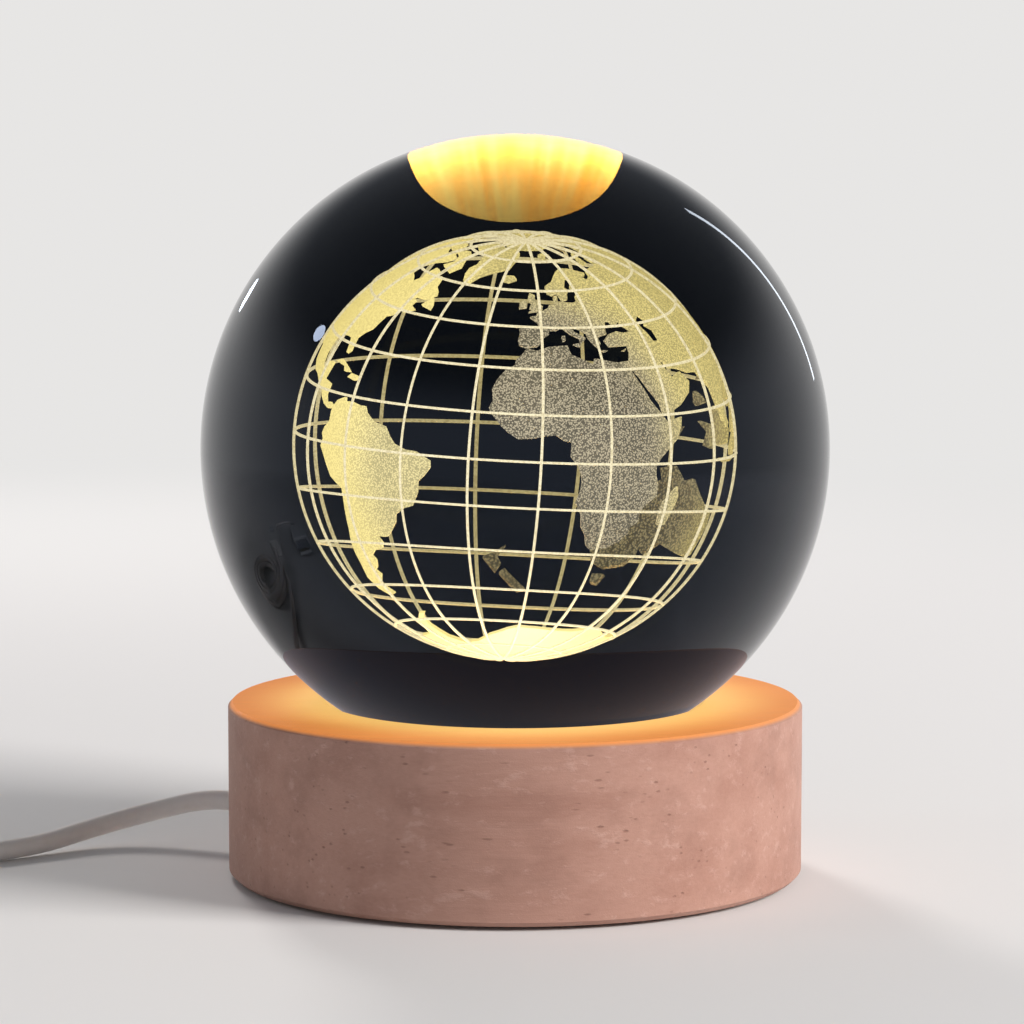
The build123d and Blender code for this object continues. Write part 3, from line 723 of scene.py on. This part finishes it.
def screw_head(name, radius, height, seat):
    """A pan head that hangs below its seat, with a cross recess."""
    plain = [1.0] * screw_sides
    cross = [0.55 if step % 6 in (0, 1) else 0.17 for step in range(screw_sides)]
    shape = bmesh.new()
    rows = []
    for width, shares, down in (
        (0.0, plain, 0.0), (1.0, plain, 0.0), (1.0, plain, 0.35), (0.9, plain, 0.72),
        (0.66, plain, 1.0), (1.0, cross, 1.0), (0.9, cross, 0.35), (0.0, plain, 0.35),
    ):
        row = []
        for step in range(screw_sides if width > 0 else 1):
            angle = (step - 0.5) * math.tau / screw_sides
            out = radius * width * shares[step]
            row.append(shape.verts.new((out * math.cos(angle), out * math.sin(angle), seat - height * down)))
        rows.append(row)
    skin(shape, rows)
    return smooth_mesh(name, shape, sharp=40.0)


ring_tree, given = new_tree("ring of copies", {
    "Item": "Geometry", "Count": "Int", "Radius": "Float", "First angle": "Float", "Material": "Material",
})
angle = given["Count"].node("GeometryNodeInputIndex") * math.tau / given["Count"] + given["First angle"]
spots = angle.vector(X=angle.maths("COSINE") * given["Radius"], Y=angle.maths("SINE") * given["Radius"])
close_tree(copies_at(spots, given["Item"], given, Rotation=angle.vector(Z=angle)), given)


def add_ring(name, item, count, radius, first_angle, material, slot, *nodes):
    """A piece of the base: copies of an item in a ring round the upright axis, their own X outwards."""
    values = {"Count": count, "Radius": radius, "First angle": first_angle, "Material": material}
    add_piece(name, grown(name, ring_tree, values, item), material, "base", slot, *nodes)


dress(finish_of("board_white", board_recipe), "led_board")
dress(finish_of("chip_phosphor", chip_recipe), "led_chips")
resistor_black = finish_of("resistor_black", moulded_recipe, (0.03, 0.03, 0.035), (0.06, 0.06, 0.06))
dress(resistor_black, "chip_resistors")
zinc, dull_zinc = (0.62, 0.62, 0.60), (0.45, 0.45, 0.44)
screw_zinc = finish_of("screw_zinc", metal_recipe, zinc, dull_zinc, (900, 900, 900), 0.3)
board_screw = screw_head("board_screw", radius=0.0016, height=0.0010, seat=board_bottom)
add_ring("board_screws", board_screw, 3, board_screw_circle, math.radians(95.0), screw_zinc, "board")

# Wires: a red and a black one, soft insulation on fine strands, from the lead's stripped end in one bend to
# their pads. Each ends in a small dome of solder. A pale nylon tie round the lead holds it behind the wall.
wire_thickness = 0.00096
wire_aside = 0.0007
pad_reach = 0.0115
red_insulation = finish_of("red_insulation", moulded_recipe, (0.5, 0.02, 0.015), (0.42, 0.02, 0.015))
black_insulation = finish_of("black_insulation", moulded_recipe, (0.02, 0.02, 0.02), (0.04, 0.04, 0.04))
solder = finish_of("solder", metal_recipe, (0.70, 0.70, 0.69), (0.55, 0.55, 0.54), (2000, 2000, 2000), 0.22)
dome_profile = [
    (radius, board_bottom - drop)
    for radius, drop in ((0.0, 0.0), (0.0009, 0.0), (0.0008, 0.0003), (0.00054, 0.0006), (0.0, 0.0007))
]
for name, aside, insulation, slot, node in (
    ("red_wire", wire_aside, red_insulation, "red_insulation", "supply_wire"),
    ("black_wire", -wire_aside, black_insulation, "black_insulation", "return_wire"),
):
    bend = [(reach, aside, level) for reach, level in (
        (lead_inside, exit_height), (0.0136, exit_height), (pad_reach, exit_height + 0.0003),
        (pad_reach, exit_height + 0.0026), (pad_reach, board_bottom),
    )]
    tube = plain_mesh(smooth_cord(name, bend, wire_thickness, insulation))
    tube.transform(exit_turn)
    add_piece(name, tube, insulation, "base", slot, node)
    dome = turned(name + "_solder", dome_profile, sides=24)
    dome.transform(exit_turn @ Matrix.Translation((pad_reach, aside, 0)))
    add_piece(name + "_solder", dome, solder, "base", "board")
dress(finish_of("white_nylon", moulded_recipe, (0.8, 0.8, 0.76), (0.74, 0.74, 0.7)), "cord_stop")

# Cover: a black moulded disc with a fine grain, pressed into the rebate and held by four screws in the wood.
# Four black rubber feet, dished in the middle, are stuck on it.
cover_bottom = 0.0015
cover_screw_circle, foot_circle = 0.0276, 0.0200
cover_black = finish_of("cover_plastic", rubber_recipe, (0.015, 0.015, 0.015), (0.03, 0.03, 0.03))
black_rubber = finish_of("black_rubber", rubber_recipe, (0.02, 0.02, 0.02), (0.045, 0.045, 0.04))
dress(cover_black, "bottom_cover")
foot_radius, foot_dish = 0.0040, 0.00035
foot_corners = [(0.0, cover_bottom), (foot_radius, cover_bottom), (foot_radius, 0.0), (0.0026, 0.0),
                (0.0022, foot_dish), (0.0, foot_dish)]
foot_cuts = [0, 0.0001, 0.0005, 0.0002, 0.0001, 0]
foot = turned("foot", eased(foot_corners, foot_cuts), sides=40)
add_ring("stuck_feet", foot, 4, foot_circle, exit_angle, black_rubber, "black_rubber", "rubber_feet")
cover_screw = screw_head("cover_screw", radius=0.0015, height=0.0009, seat=cover_bottom)
cover_screw_angle = exit_angle + math.pi / 4
add_ring("cover_screws", cover_screw, 4, cover_screw_circle, cover_screw_angle, screw_zinc, "cover_plastic")

# Glass ball: solid clear glass with a dark blue cast, ground and polished to a true sphere, with a flat
# ground below where it stands in the seat.
ball_radius = 0.040
ball_centre = 0.054631
ball_flat = 0.02095
ball_rows, flat_rows = 112, (0.0, 0.008, 0.016, 0.0211)
edge_width = 0.010
flat_reach = math.sqrt(ball_radius ** 2 - (ball_centre - seat_floor) ** 2)
flat_edge = math.asin(flat_reach / ball_radius) + edge_width
ball_profile = [(reach, ball_flat) for reach in flat_rows]
for row in range(ball_rows):
    angle = flat_edge + (math.pi - flat_edge) * row / ball_rows
    ball_profile.append((ball_radius * math.sin(angle), ball_centre - ball_radius * math.cos(angle)))
ball_profile.append((0.0, ball_centre + ball_radius))


def glass_recipe(place):
    return {
        "Base Color": (0.012, 0.017, 0.036),
        "Roughness": 0.0,
        "IOR": 1.52,
        "Transmission Weight": 1.0,
        "Specular Tint": (0.33, 0.41, 0.60),
    }


ball_glass = finish_of("ball_glass", glass_recipe, volume={"Color": (0.41, 0.364, 0.09), "Density": 44.0})
ball_mesh = turned("glass_ball", ball_profile, sides=192)
add_piece("glass_ball", ball_mesh, ball_glass, "ball", "ball_glass", "crystal_ball")

# Ground spot: the matt middle of the ball's flat, right over the window. Its light is painted: it glows with
# its own emission, seen straight through the glass as the engraving does, and in reflections the glow is
# raised many times, a painted reflection that makes the bright mirror image in the ball's top.
spot_radius = 0.0124
spot_low, spot_high = 0.02100, 0.02106
spot_painted_glow, painted_reflection_gain = 55.0, 65.5


def spot_recipe(place):
    streaks = place.stretched(620, 40, 1).noise(1.0, 3.0, 0.55)
    broad = place.stretched(170, 25, 1).noise(1.0, 2.0)
    tone = (streaks * 0.6 + broad * 0.6).rise(0.42, 0.82).between((1.0, 0.43, 0.12), (1.0, 0.69, 0.44))
    # Painted reflection: the glow is raised in reflection rays only.
    gain = 1 + place.node("ShaderNodeLightPath", output="Is Reflection Ray") * (painted_reflection_gain - 1)
    return {
        "Base Color": (0.8, 0.6, 0.3),
        "Roughness": 0.7,
        "Emission Color": tone.node("ShaderNodeVectorMath", {"operation": "SCALE"}, {0: tone, "Scale": gain}),
        "Emission Strength": spot_painted_glow,
    }


ground_spot = finish_of("ground_spot", spot_recipe)
spot_profile = [(0.0, spot_low), (spot_radius, spot_low), (spot_radius, spot_high), (0.0, spot_high)]
spot_mesh = turned("flat_ground_spot", spot_profile, sides=96)
spot = add_piece("flat_ground_spot", spot_mesh, ground_spot, "ball", "engraving")
spot.visible_diffuse = False

# Engraved globe: fine dots burnt into the glass with a laser. The meridians and parallels are dense
# threads of dots. The whole globe is a little flatter than a sphere, leans three degrees and turns its
# Atlantic side to the front.
globe_radius = 0.01855
globe_flatness = 0.968
globe_middle = 0.05488
globe_lean, globe_turn = math.radians(3.0), math.radians(-82.0)
inner_radius = globe_radius - 0.00005
line_width, line_sides = 0.00027, 6
meridian_points, parallel_points = 121, 144
globe_place = (
    Matrix.Translation((0, 0, globe_middle))
    @ Matrix.Diagonal((1, 1, globe_flatness, 1))
    @ Matrix.Rotation(globe_lean, 4, "Y")
    @ Matrix.Rotation(globe_turn, 4, "Z")
)


def engraved(tone):
    """The shader's inputs for glass burnt matt, lit by a painted glow where the tone is bright."""
    return {
        "Base Color": (0.02, 0.02, 0.015),
        "Roughness": 0.8,
        "Emission Color": tone,
        "Emission Strength": 19.0,
    }


def line_recipe(place):
    # Painted light: the lines glow brighter towards the bottom, as if lit by the lamp below.
    low = place.parts()[2].rise(ball_centre - 0.010, ball_centre - 0.0175)
    dots = place.noise(5200.0, 2.0, 0.6).rise(0.35, 0.6)
    return engraved((dots * 0.75 + low * 0.5).between((0.66, 0.50, 0.27), (1.0, 0.80, 0.50)))


def close_threads(curves, given):
    """Ends a tree in threads of dots along its curves."""
    real = curves.node("GeometryNodeRealizeInstances", {}, {"Geometry": curves})
    round_line = {"Resolution": line_sides, "Radius": given["Line width"] / 2}
    thread = real.node("GeometryNodeCurvePrimitiveCircle", {}, round_line)
    tube = {"Curve": real, "Profile Curve": thread, "Fill Caps": True}
    close_tree(real.node("GeometryNodeCurveToMesh", {}, tube), given)


line_inputs = {
    "Count": "Int", "Radius": "Float", "Step": "Float", "Line width": "Float", "Material": "Material",
}
meridian_tree, given = new_tree("meridians", {**line_inputs, "End": "Float"})
index = given["Radius"].node("GeometryNodeInputIndex")
arc = index.node("GeometryNodeCurveArc", {"mode": "RADIUS"}, {
    "Resolution": meridian_points, "Radius": given["Radius"],
    "Start Angle": 0 - given["End"], "Sweep Angle": given["End"] * 2,
})
upright = arc.node("GeometryNodeTransform", {}, {"Geometry": arc, "Rotation": (math.pi / 2, 0, 0)})
turn = index.vector(Z=index * given["Step"])
close_threads(copies_at((0, 0, 0), upright, given, Rotation=turn), given)

parallel_tree, given = new_tree("parallels", line_inputs)
index = given["Radius"].node("GeometryNodeInputIndex")
latitude = (index - (given["Count"] - 1) / 2) * given["Step"]
narrow = latitude.maths("COSINE")
round_ring = {"Resolution": parallel_points, "Radius": given["Radius"]}
ring = index.node("GeometryNodeCurvePrimitiveCircle", {}, round_ring)
spots = index.vector(Z=latitude.maths("SINE") * given["Radius"])
close_threads(copies_at(spots, ring, given, Scale=index.vector(X=narrow, Y=narrow, Z=1.0)), given)

line_glow = finish_of("engraved_lines", line_recipe)
meridian_sizes = {"Count": 16, "Radius": globe_radius, "Step": math.tau / 16, "End": math.radians(89.8)}
parallel_sizes = {"Count": 11, "Radius": inner_radius, "Step": math.radians(15.0)}
for name, tree, sizes, node in (
    ("globe_meridian_lines", meridian_tree, meridian_sizes, "globe_meridians"),
    ("globe_parallel_lines", parallel_tree, parallel_sizes, "globe_parallels"),
):
    lines = grown(name, tree, {**sizes, "Line width": line_width, "Material": line_glow})
    lines.transform(globe_place)
    add_piece(name, lines, line_glow, "ball", "engraving", node)


# Engraved land: a thin layer of fine dots just inside the meridians, over the outlines of the world's
# coasts. Each outline is written as degrees east and north, one place after the other.
def coast(text):
    degrees = [float(number) for number in text.split()]
    return list(zip(degrees[::2], degrees[1::2]))


africa = coast("""
    -6 35.8  -2 35.1  3 36.8  10 37.3  11 34  15 32.3  19 30.4  20 32.6  25 31.6  29 30.9  32.2 31.2
    32.5 29.9  35.5 24  37.3 20.8  38.5 18  41 14.8  43.1 12.2  44.5 10.5  51.2 11.8  50.5 9  48 4.5  44 1
    41 -2  39.3 -5  39.4 -8  40.6 -11  40.7 -15  36.5 -18.5  35 -21  35.5 -24  32.8 -26  32.5 -28.5
    30 -31.3  26 -33.8  20 -34.8  18.3 -33.5  17 -29.5  15 -26.5  14.4 -22.5  12 -18  13.3 -13  13.2 -9
    11.9 -5  9.3 -1.5  9.5 4  7 4.4  4.5 6.3  1 5.9  -2.5 5  -7.5 4.4  -11 6.7  -13.2 8.8  -15 11  -16.8 13
    -17.4 14.7  -16.3 17  -17 21  -15.5 24.5  -13 27.8  -10 29.5  -9.7 31.5  -7.5 33.6
""")
south_america = coast("""
    -77.3 8.3  -75.5 10.7  -72 12.2  -71.5 10.9  -68 11.2  -64 10.5  -61.8 10.6  -60.5 8.5  -57 6  -52 5
    -50 1.5  -48 -1  -44 -2.7  -40 -3  -37 -4.8  -35 -6  -34.9 -8.5  -37 -11.5  -39 -13.5  -39 -17.5
    -41 -22  -44.5 -23.2  -48.2 -25.8  -48.8 -28.5  -51 -31.5  -53.5 -34  -58.4 -34  -56.8 -36.5  -58 -38.2
    -62 -39  -65 -41  -64 -42.6  -65.5 -45  -67.5 -46.2  -65.8 -47.8  -69 -50.5  -68.5 -52.3  -65.3 -54.8
    -69 -55.3  -73.5 -52.5  -75.5 -48.5  -74 -44  -73.8 -40  -73.3 -37  -71.5 -32  -70.3 -22  -70.3 -18.4
    -75.5 -15  -77.5 -11.5  -79.8 -7.5  -81.2 -5.5  -80 -3  -80.8 -1  -79.8 1.2  -77.5 3.5  -77.5 7
""")
north_america = coast("""
    -77.3 8.3  -80 7.5  -83 8.5  -85.7 10.5  -87.5 12.8  -92 14.5  -95 16  -99 16.7  -104 19  -105.5 21
    -109 25.5  -112.5 29.5  -114.7 31.6  -111.5 26.5  -109.6 23  -112 25  -116 30.5  -117.3 33  -120.6 34.6
    -122.5 37.5  -124.3 40.4  -124.3 48.3  -122.8 49  -127.5 51.5  -130.5 54.8  -134 58  -140 59.8
    -146 60.8  -151 59.5  -158 56  -163 54.8  -157.5 58.7  -162 59.5  -165.5 61.5  -161 64.5  -168 65.7
    -162 66.5  -166 68.5  -156.5 71.3  -150 70.5  -141 69.6  -134 69.5  -127 70  -114 68  -101 67.8  -96 68
    -94.5 71.8  -92 69.5  -85.5 69.7  -81.5 69  -82 66.5  -90.5 63.5  -94.5 60  -92.5 57  -88 56.5  -82.3 55
    -82 53  -80 51.3  -78.8 52.5  -79.7 54.7  -76.6 57.2  -78.5 58.8  -77.5 62.4  -73.5 62.3  -70 61
    -69.5 58.8  -64.5 60.3  -61.5 56.5  -57.5 54.6  -55.8 52.8  -60 50.2  -66.5 50.2  -70 47  -64.5 49
    -65 47  -61 45.7  -66 43.6  -67 45  -70.2 43.6  -70.7 41.8  -74 40.6  -76 35.2  -79 33.3  -81.3 31
    -80.1 26.5  -81.5 25.4  -82.7 28  -84.2 30  -89.5 30.2  -94 29.6  -97.3 27.5  -97.7 22.5  -96 19
    -91.5 18.6  -90.4 21  -87 21.5  -88.8 15.9  -83.2 15  -83.7 11.5  -82 9  -79.5 9.6
""")
eurasia = coast("""
    -5.6 36  -8.9 37  -9.4 38.8  -8.8 42  -9.2 43.2  -4 43.4  -1.6 43.4  -1.2 46  -4.7 48.2  -1.6 48.7
    -1.5 49.7  1.6 50.9  4 52  5 53.3  8.6 53.9  8.2 57  10.6 57.7  10 54.5  14 53.9  19 54.4  21 55.5
    21.5 57.5  24.3 57.5  23.5 59.2  30 59.9  22.5 60  21.3 61.5  25.3 65  22 65.8  17 61.2  18.8 59.8
    16.6 57.8  16 56.1  12.8 55.5  11.2 59  8 58  5.3 59  5 62  10 64  13 66.5  17 69  23 70.7  31 70  41 67
    40 66.2  34 66.8  37 63.9  40 64.7  44 66  46 68  53 68.7  67 68.7  70 73  73 71.5  74 68  78 72.3
    87 75  104 77.6  113 74  127 73  140 72.5  160 69.7  180 68.8  190 66  179 62.4  170 60  164 59.8
    162 57.9  162 55  156.8 51.2  155.7 56  157 61.7  150 59.5  142 59  135.5 54.6  140.5 53  140.3 48.3
    135.5 44  131.8 43.2  127.5 39.5  129.4 37  129 35.2  126.4 34.5  124.8 39.7  121.3 39  121.5 40.8
    118 39  119 37.3  122.4 37.2  119.3 35  121.8 31.5  121.5 28.5  118.5 24.5  114 22.3  108 21.5  105.8 19
    109.2 12  105 8.7  100.9 13.3  99.3 10  103.4 4.5  104.2 1.4  101.3 3  98.3 8  97.5 16.5  94.3 16
    92 21.5  89 21.8  86.8 20.8  82.3 16.7  80.2 13.5  79.9 10.3  77.6 8.1  74 14.8  72.8 19  70.5 20.8
    67 24.8  61.5 25.2  56.5 27  51.5 27.9  50 30  48 30  50.2 26.3  51.5 24.5  56.3 26  59.8 22.4  57.7 19
    52 15.6  45 12.8  43.4 12.7  42.7 16.5  39.1 21.4  35 28  34.9 29.5  34.3 27.8  32.7 29.9  32.4 31.2
    34.3 31.3  35.8 34.5  36 36.8  30.6 36.8  27.5 36.8  26.3 39.2  29 41.1  33.3 42  36.5 41.2  41.5 41.6
    37.5 44.7  38.5 47  36.5 45.2  33.5 44.4  32.7 46.1  30.7 46.4  28.6 43.8  28.2 41.4  23.5 40.4  24 37.7
    22.7 36.5  21.2 37.8  19.5 40.5  19.3 42  15.2 44.3  13.6 45.3  12.4 45.2  12.6 44  14 42.5  18.4 40
    17 39  15.7 38  15.8 40  12.3 41.7  10.4 43.2  8.8 44.4  6.5 43.2  3.2 43.2  3.2 41.8  -0.3 39.5
    -0.8 37.6  -2.2 36.8  -4.8 36.4
""")
australia = coast("""
    114 -22  113.5 -26  115 -34.3  118 -35  123.5 -33.9  131.5 -31.5  135.5 -34.8  138 -33  138 -35.5
    140.5 -38  146.4 -39  150 -37.5  151.5 -33  153.5 -28.5  149 -21  146 -19  145.3 -15  142.6 -10.8
    140.8 -17.5  137.5 -16  135.7 -15  136.8 -12.2  132.5 -11.3  129 -15  125.5 -14  122.3 -17.5  119 -20
""")
antarctica = coast("""
    0 -69.5  12 -69.8  25 -70  38 -69.5  50 -66.8  57 -66.8  70 -68.5  78 -69  88 -66.8  100 -66  113 -66
    125 -66.5  136 -66.2  147 -68  160 -70  170 -71.5  166 -77.5  180 -78  200 -78.2  208 -77  228 -74.5
    245 -74  258 -73  270 -73  285 -73  293 -67  300 -63.5  304 -63.5  299 -66  298 -70  300 -75  310 -78
    325 -77.5  340 -74  353 -71
""")
greenland = coast("""
    -44 60  -40 64.5  -31 68.2  -22 70.5  -19 76  -18 80  -25 82.3  -35 83.5  -50 82.4  -60 81.8  -68 80
    -68 76.2  -59 75.8  -55 72.5  -51.5 69.5  -53.5 67  -51.5 64  -48 61
""")
caspian_sea = coast("47 45  51 47  53 45  51 43  54 41  54 37  50 37  49 40  47.5 42.5")
islands = [coast(outline) for outline in """
    44 -25  47 -25  49.5 -18  50.3 -15.5  49.2 -12  46 -15.7  44.3 -17  43.5 -22;
    -5.5 50.1  1.3 51.2  1.7 52.8  -0.2 54  -2 55.8  -2 57.6  -5 58.6  -5.7 56.5  -4.8 54.8  -3 53.9
    -4.6 53  -5 51.8  -3 51.4;
    -10 51.8  -6.3 52.2  -6 54.3  -7.5 55.3  -10 54;
    -24 65.5  -22 66.4  -16 66.5  -13.6 65  -18.5 63.4  -22.6 63.9;
    -86 73  -80 73.7  -73 71.5  -62 66.7  -65 63  -77 64.5  -73 67.5  -79 70  -88 70.5;
    -118 71  -115 73.2  -105 73  -105 69.2  -114 69.3;
    -90 76.5  -80 76.2  -75 78.5  -62 82.3  -75 83  -90 81.5;
    -59 47.7  -53 46.8  -53.5 49  -56 51.5;
    -85 22  -82 23.2  -77 21.5  -74.2 20.2  -77.5 19.9  -78.5 21.3;
    -74.4 18.4  -72.8 19.9  -70 19.7  -68.4 18.6  -71 17.9;
    144.8 -40.8  148.3 -40.9  148 -43.2  146 -43.5;
    131 -0.8  134.2 -0.8  135 -3.3  138 -1.7  144.5 -3.9  150.5 -10.5  147 -9.5  141 -9.1  138 -8  138 -5.5
    133 -4;
    109 1.5  115 5  117 7  119 5  117.8 1  116.3 -3.5  114.5 -3.9  110.2 -2.8;
    95.4 5.6  98.5 4  103.5 0  106 -3  105.7 -5.8  102.3 -4  98.7 1.6;
    105.3 -6.8  108.5 -6.6  114.3 -7.7  114.4 -8.6  108 -7.8;
    119.5 -5.5  119 -2  120 1.2  125 1.6  121.2 -1  122.7 -5;
    120.3 16  120.8 18.5  122.2 18.3  121.6 15.9  124 12.9  120.7 13.9;
    122 7  123.5 8.5  126 9.5  126.3 6.5  125.4 5.8;
    130.9 34  132.6 35.5  136.7 36.9  139.4 38.2  140 41.3  142 39.5  140.8 35.7  138.6 34.7  135.7 33.5
    132 33.9;
    140 42  141.7 45.4  145.3 43.3  143.2 42;
    130 33  131.8 33.2  131 31.1  130.2 31.4;
    120.2 23  121.5 25.2  121 22;
    80 9.8  81.9 7  80.4 6  79.8 8;
    143.5 46.7  143 49  143.3 53  142.4 54.3  141.8 51  142 47;
    172.7 -34.5  175.5 -36.5  178.4 -37.7  175.3 -41.5  173.8 -39.3  174.8 -37.5;
    166.6 -46  172.8 -40.6  174.2 -41.7  171 -45  169 -46.6;
    52 71  56 73.5  68 76.9  60 74  57 70.8;
    11 79.5  20 80.3  21 78.3  16.5 76.8;
    12.5 37.8  15.6 38.2  15.1 36.8;
    8.3 40.8  9.7 41  9.6 39.2  8.5 39;
    23.6 35.5  26.2 35.3  24.8 34.9;
    32.4 35  34.5 35.6  33.9 34.9;
    0 84  30 84  60 84  90 84  120 84  150 84  180 84  210 84  240 84  270 84  300 84  330 84
""".split(";")]
# The engraved map isn't quite true: degrees north on the real globe, and where the engraving puts them.
drawn_north = coast("-90 -90  -70 -63.5  -55 -49  -35 -28.5  -7 -2.5  5 7.6  15 17  37 38.3  60 60.5  90 90")
spacing, clear_of_coasts = 0.055, 0.6
land_depth = 0.0003


def on_globe(east, north):
    for (low, low_drawn), (high, high_drawn) in zip(drawn_north, drawn_north[1:]):
        if low <= north <= high:
            north = low_drawn + (high_drawn - low_drawn) * (north - low) / (high - low)
            break
    east, north = math.radians(east), math.radians(north)
    return Vector((math.cos(north) * math.cos(east), math.cos(north) * math.sin(east), math.sin(north)))


def inside(spot, outline):
    """Whether a flat spot lies inside a closed outline."""
    crossings = 0
    for (x, y), (next_x, next_y) in zip(outline, outline[1:] + outline[:1]):
        if (y > spot[1]) != (next_y > spot[1]):
            crossings += spot[0] < x + (next_x - x) * (spot[1] - y) / (next_y - y)
    return crossings % 2 == 1


def land_patch(shape, outline, *waters):
    """Adds a patch of the globe's skin over one outline, cut into small triangles, with waters left out."""
    middle = sum((on_globe(*spot) for spot in outline), Vector()).normalized()
    side = middle.orthogonal().normalized()
    up = middle.cross(side)

    def flat(spot):
        scale = math.sqrt(2 / (1 + spot.dot(middle)))
        return (scale * spot.dot(side), scale * spot.dot(up))

    def round_again(x, y):
        square = x * x + y * y
        return middle * (1 - square / 2) + (side * x + up * y) * math.sqrt(1 - square / 4)

    corners, edges, loops = [], [], []
    for shore in (outline, *waters):
        spots = [flat(on_globe(*spot)) for spot in shore]
        loop = []
        for start, end in zip(spots, spots[1:] + spots[:1]):
            count = max(1, round(math.dist(start, end) / spacing))
            for step in range(count):
                share = step / count
                loop.append((start[0] + (end[0] - start[0]) * share, start[1] + (end[1] - start[1]) * share))
        first = len(corners)
        corners += loop
        edges += [(first + step, first + (step + 1) % len(loop)) for step in range(len(loop))]
        loops.append(loop)
    low_x, low_y = (min(spot[way] for spot in loops[0]) for way in (0, 1))
    high_x, high_y = (max(spot[way] for spot in loops[0]) for way in (0, 1))
    for column in range(int((high_x - low_x) / spacing) + 1):
        for row in range(int((high_y - low_y) / spacing) + 1):
            spot = (low_x + (column + 0.5 * (row % 2)) * spacing, low_y + row * spacing)
            near = min(math.dist(spot, corner) for loop in loops for corner in loop)
            if near > spacing * clear_of_coasts and inside(spot, loops[0]):
                corners.append(spot)
    spots, _, faces, *_ = geometry.delaunay_2d_cdt([Vector(corner) for corner in corners], edges, [], 0, 1e-6)
    made = [shape.verts.new(round_again(spot.x, spot.y)) for spot in spots]
    for face in faces:
        centre = (sum(spots[at].x for at in face) / 3, sum(spots[at].y for at in face) / 3)
        if inside(centre, loops[0]) and not any(inside(centre, loop) for loop in loops[1:]):
            shape.faces.new([made[at] for at in face])


land_shape = bmesh.new()
for outline in (africa, south_america, north_america, australia, antarctica, greenland, *islands):
    land_patch(land_shape, outline)
land_patch(land_shape, eurasia, caspian_sea)
bmesh.ops.delete(land_shape, geom=[spot for spot in land_shape.verts if not spot.link_faces], context="VERTS")
for face in land_shape.faces:
    if face.normal.dot(face.calc_center_median()) < 0:
        face.normal_flip()
for vertex in land_shape.verts:
    vertex.co *= inner_radius
bmesh.ops.solidify(land_shape, geom=land_shape.faces[:], thickness=land_depth)
land_mesh = bpy.data.meshes.new("globe_land_dots")
land_shape.to_mesh(land_mesh)
land_shape.free()
land_mesh.transform(globe_place)


def land_recipe(place):
    x, _, z = place.parts()
    up = z - ball_centre
    cells = place.node("ShaderNodeTexVoronoi", {}, {"Vector": place, "Scale": 5600.0})
    dots = cells.rise(0.62, 0.30)
    # Painted light: the land glows brighter on the west side, towards the rim as seen from the front and
    # towards the bottom, and its colour shifts there too.
    west = x.rise(-0.0015, -0.0065)
    edge = ((x * x + up * up) ** 0.5).rise(0.0125, 0.0172)
    low = up.rise(-0.0125, -0.0160)
    bright = 0.03 + dots * 0.38 + west * 0.34 + edge * 0.36 + low * 1.0 + place.noise(160.0, 3.0) * 0.12
    lit = edge.between(west.between((1.0, 0.76, 0.46), (1.0, 0.76, 0.33)), (1.0, 0.74, 0.26))
    return engraved(bright.between((0.03, 0.024, 0.013), lit))


land_glow = finish_of("engraved_land", land_recipe)
add_piece("globe_land_dots", land_mesh, land_glow, "ball", "engraving", "globe_lands")
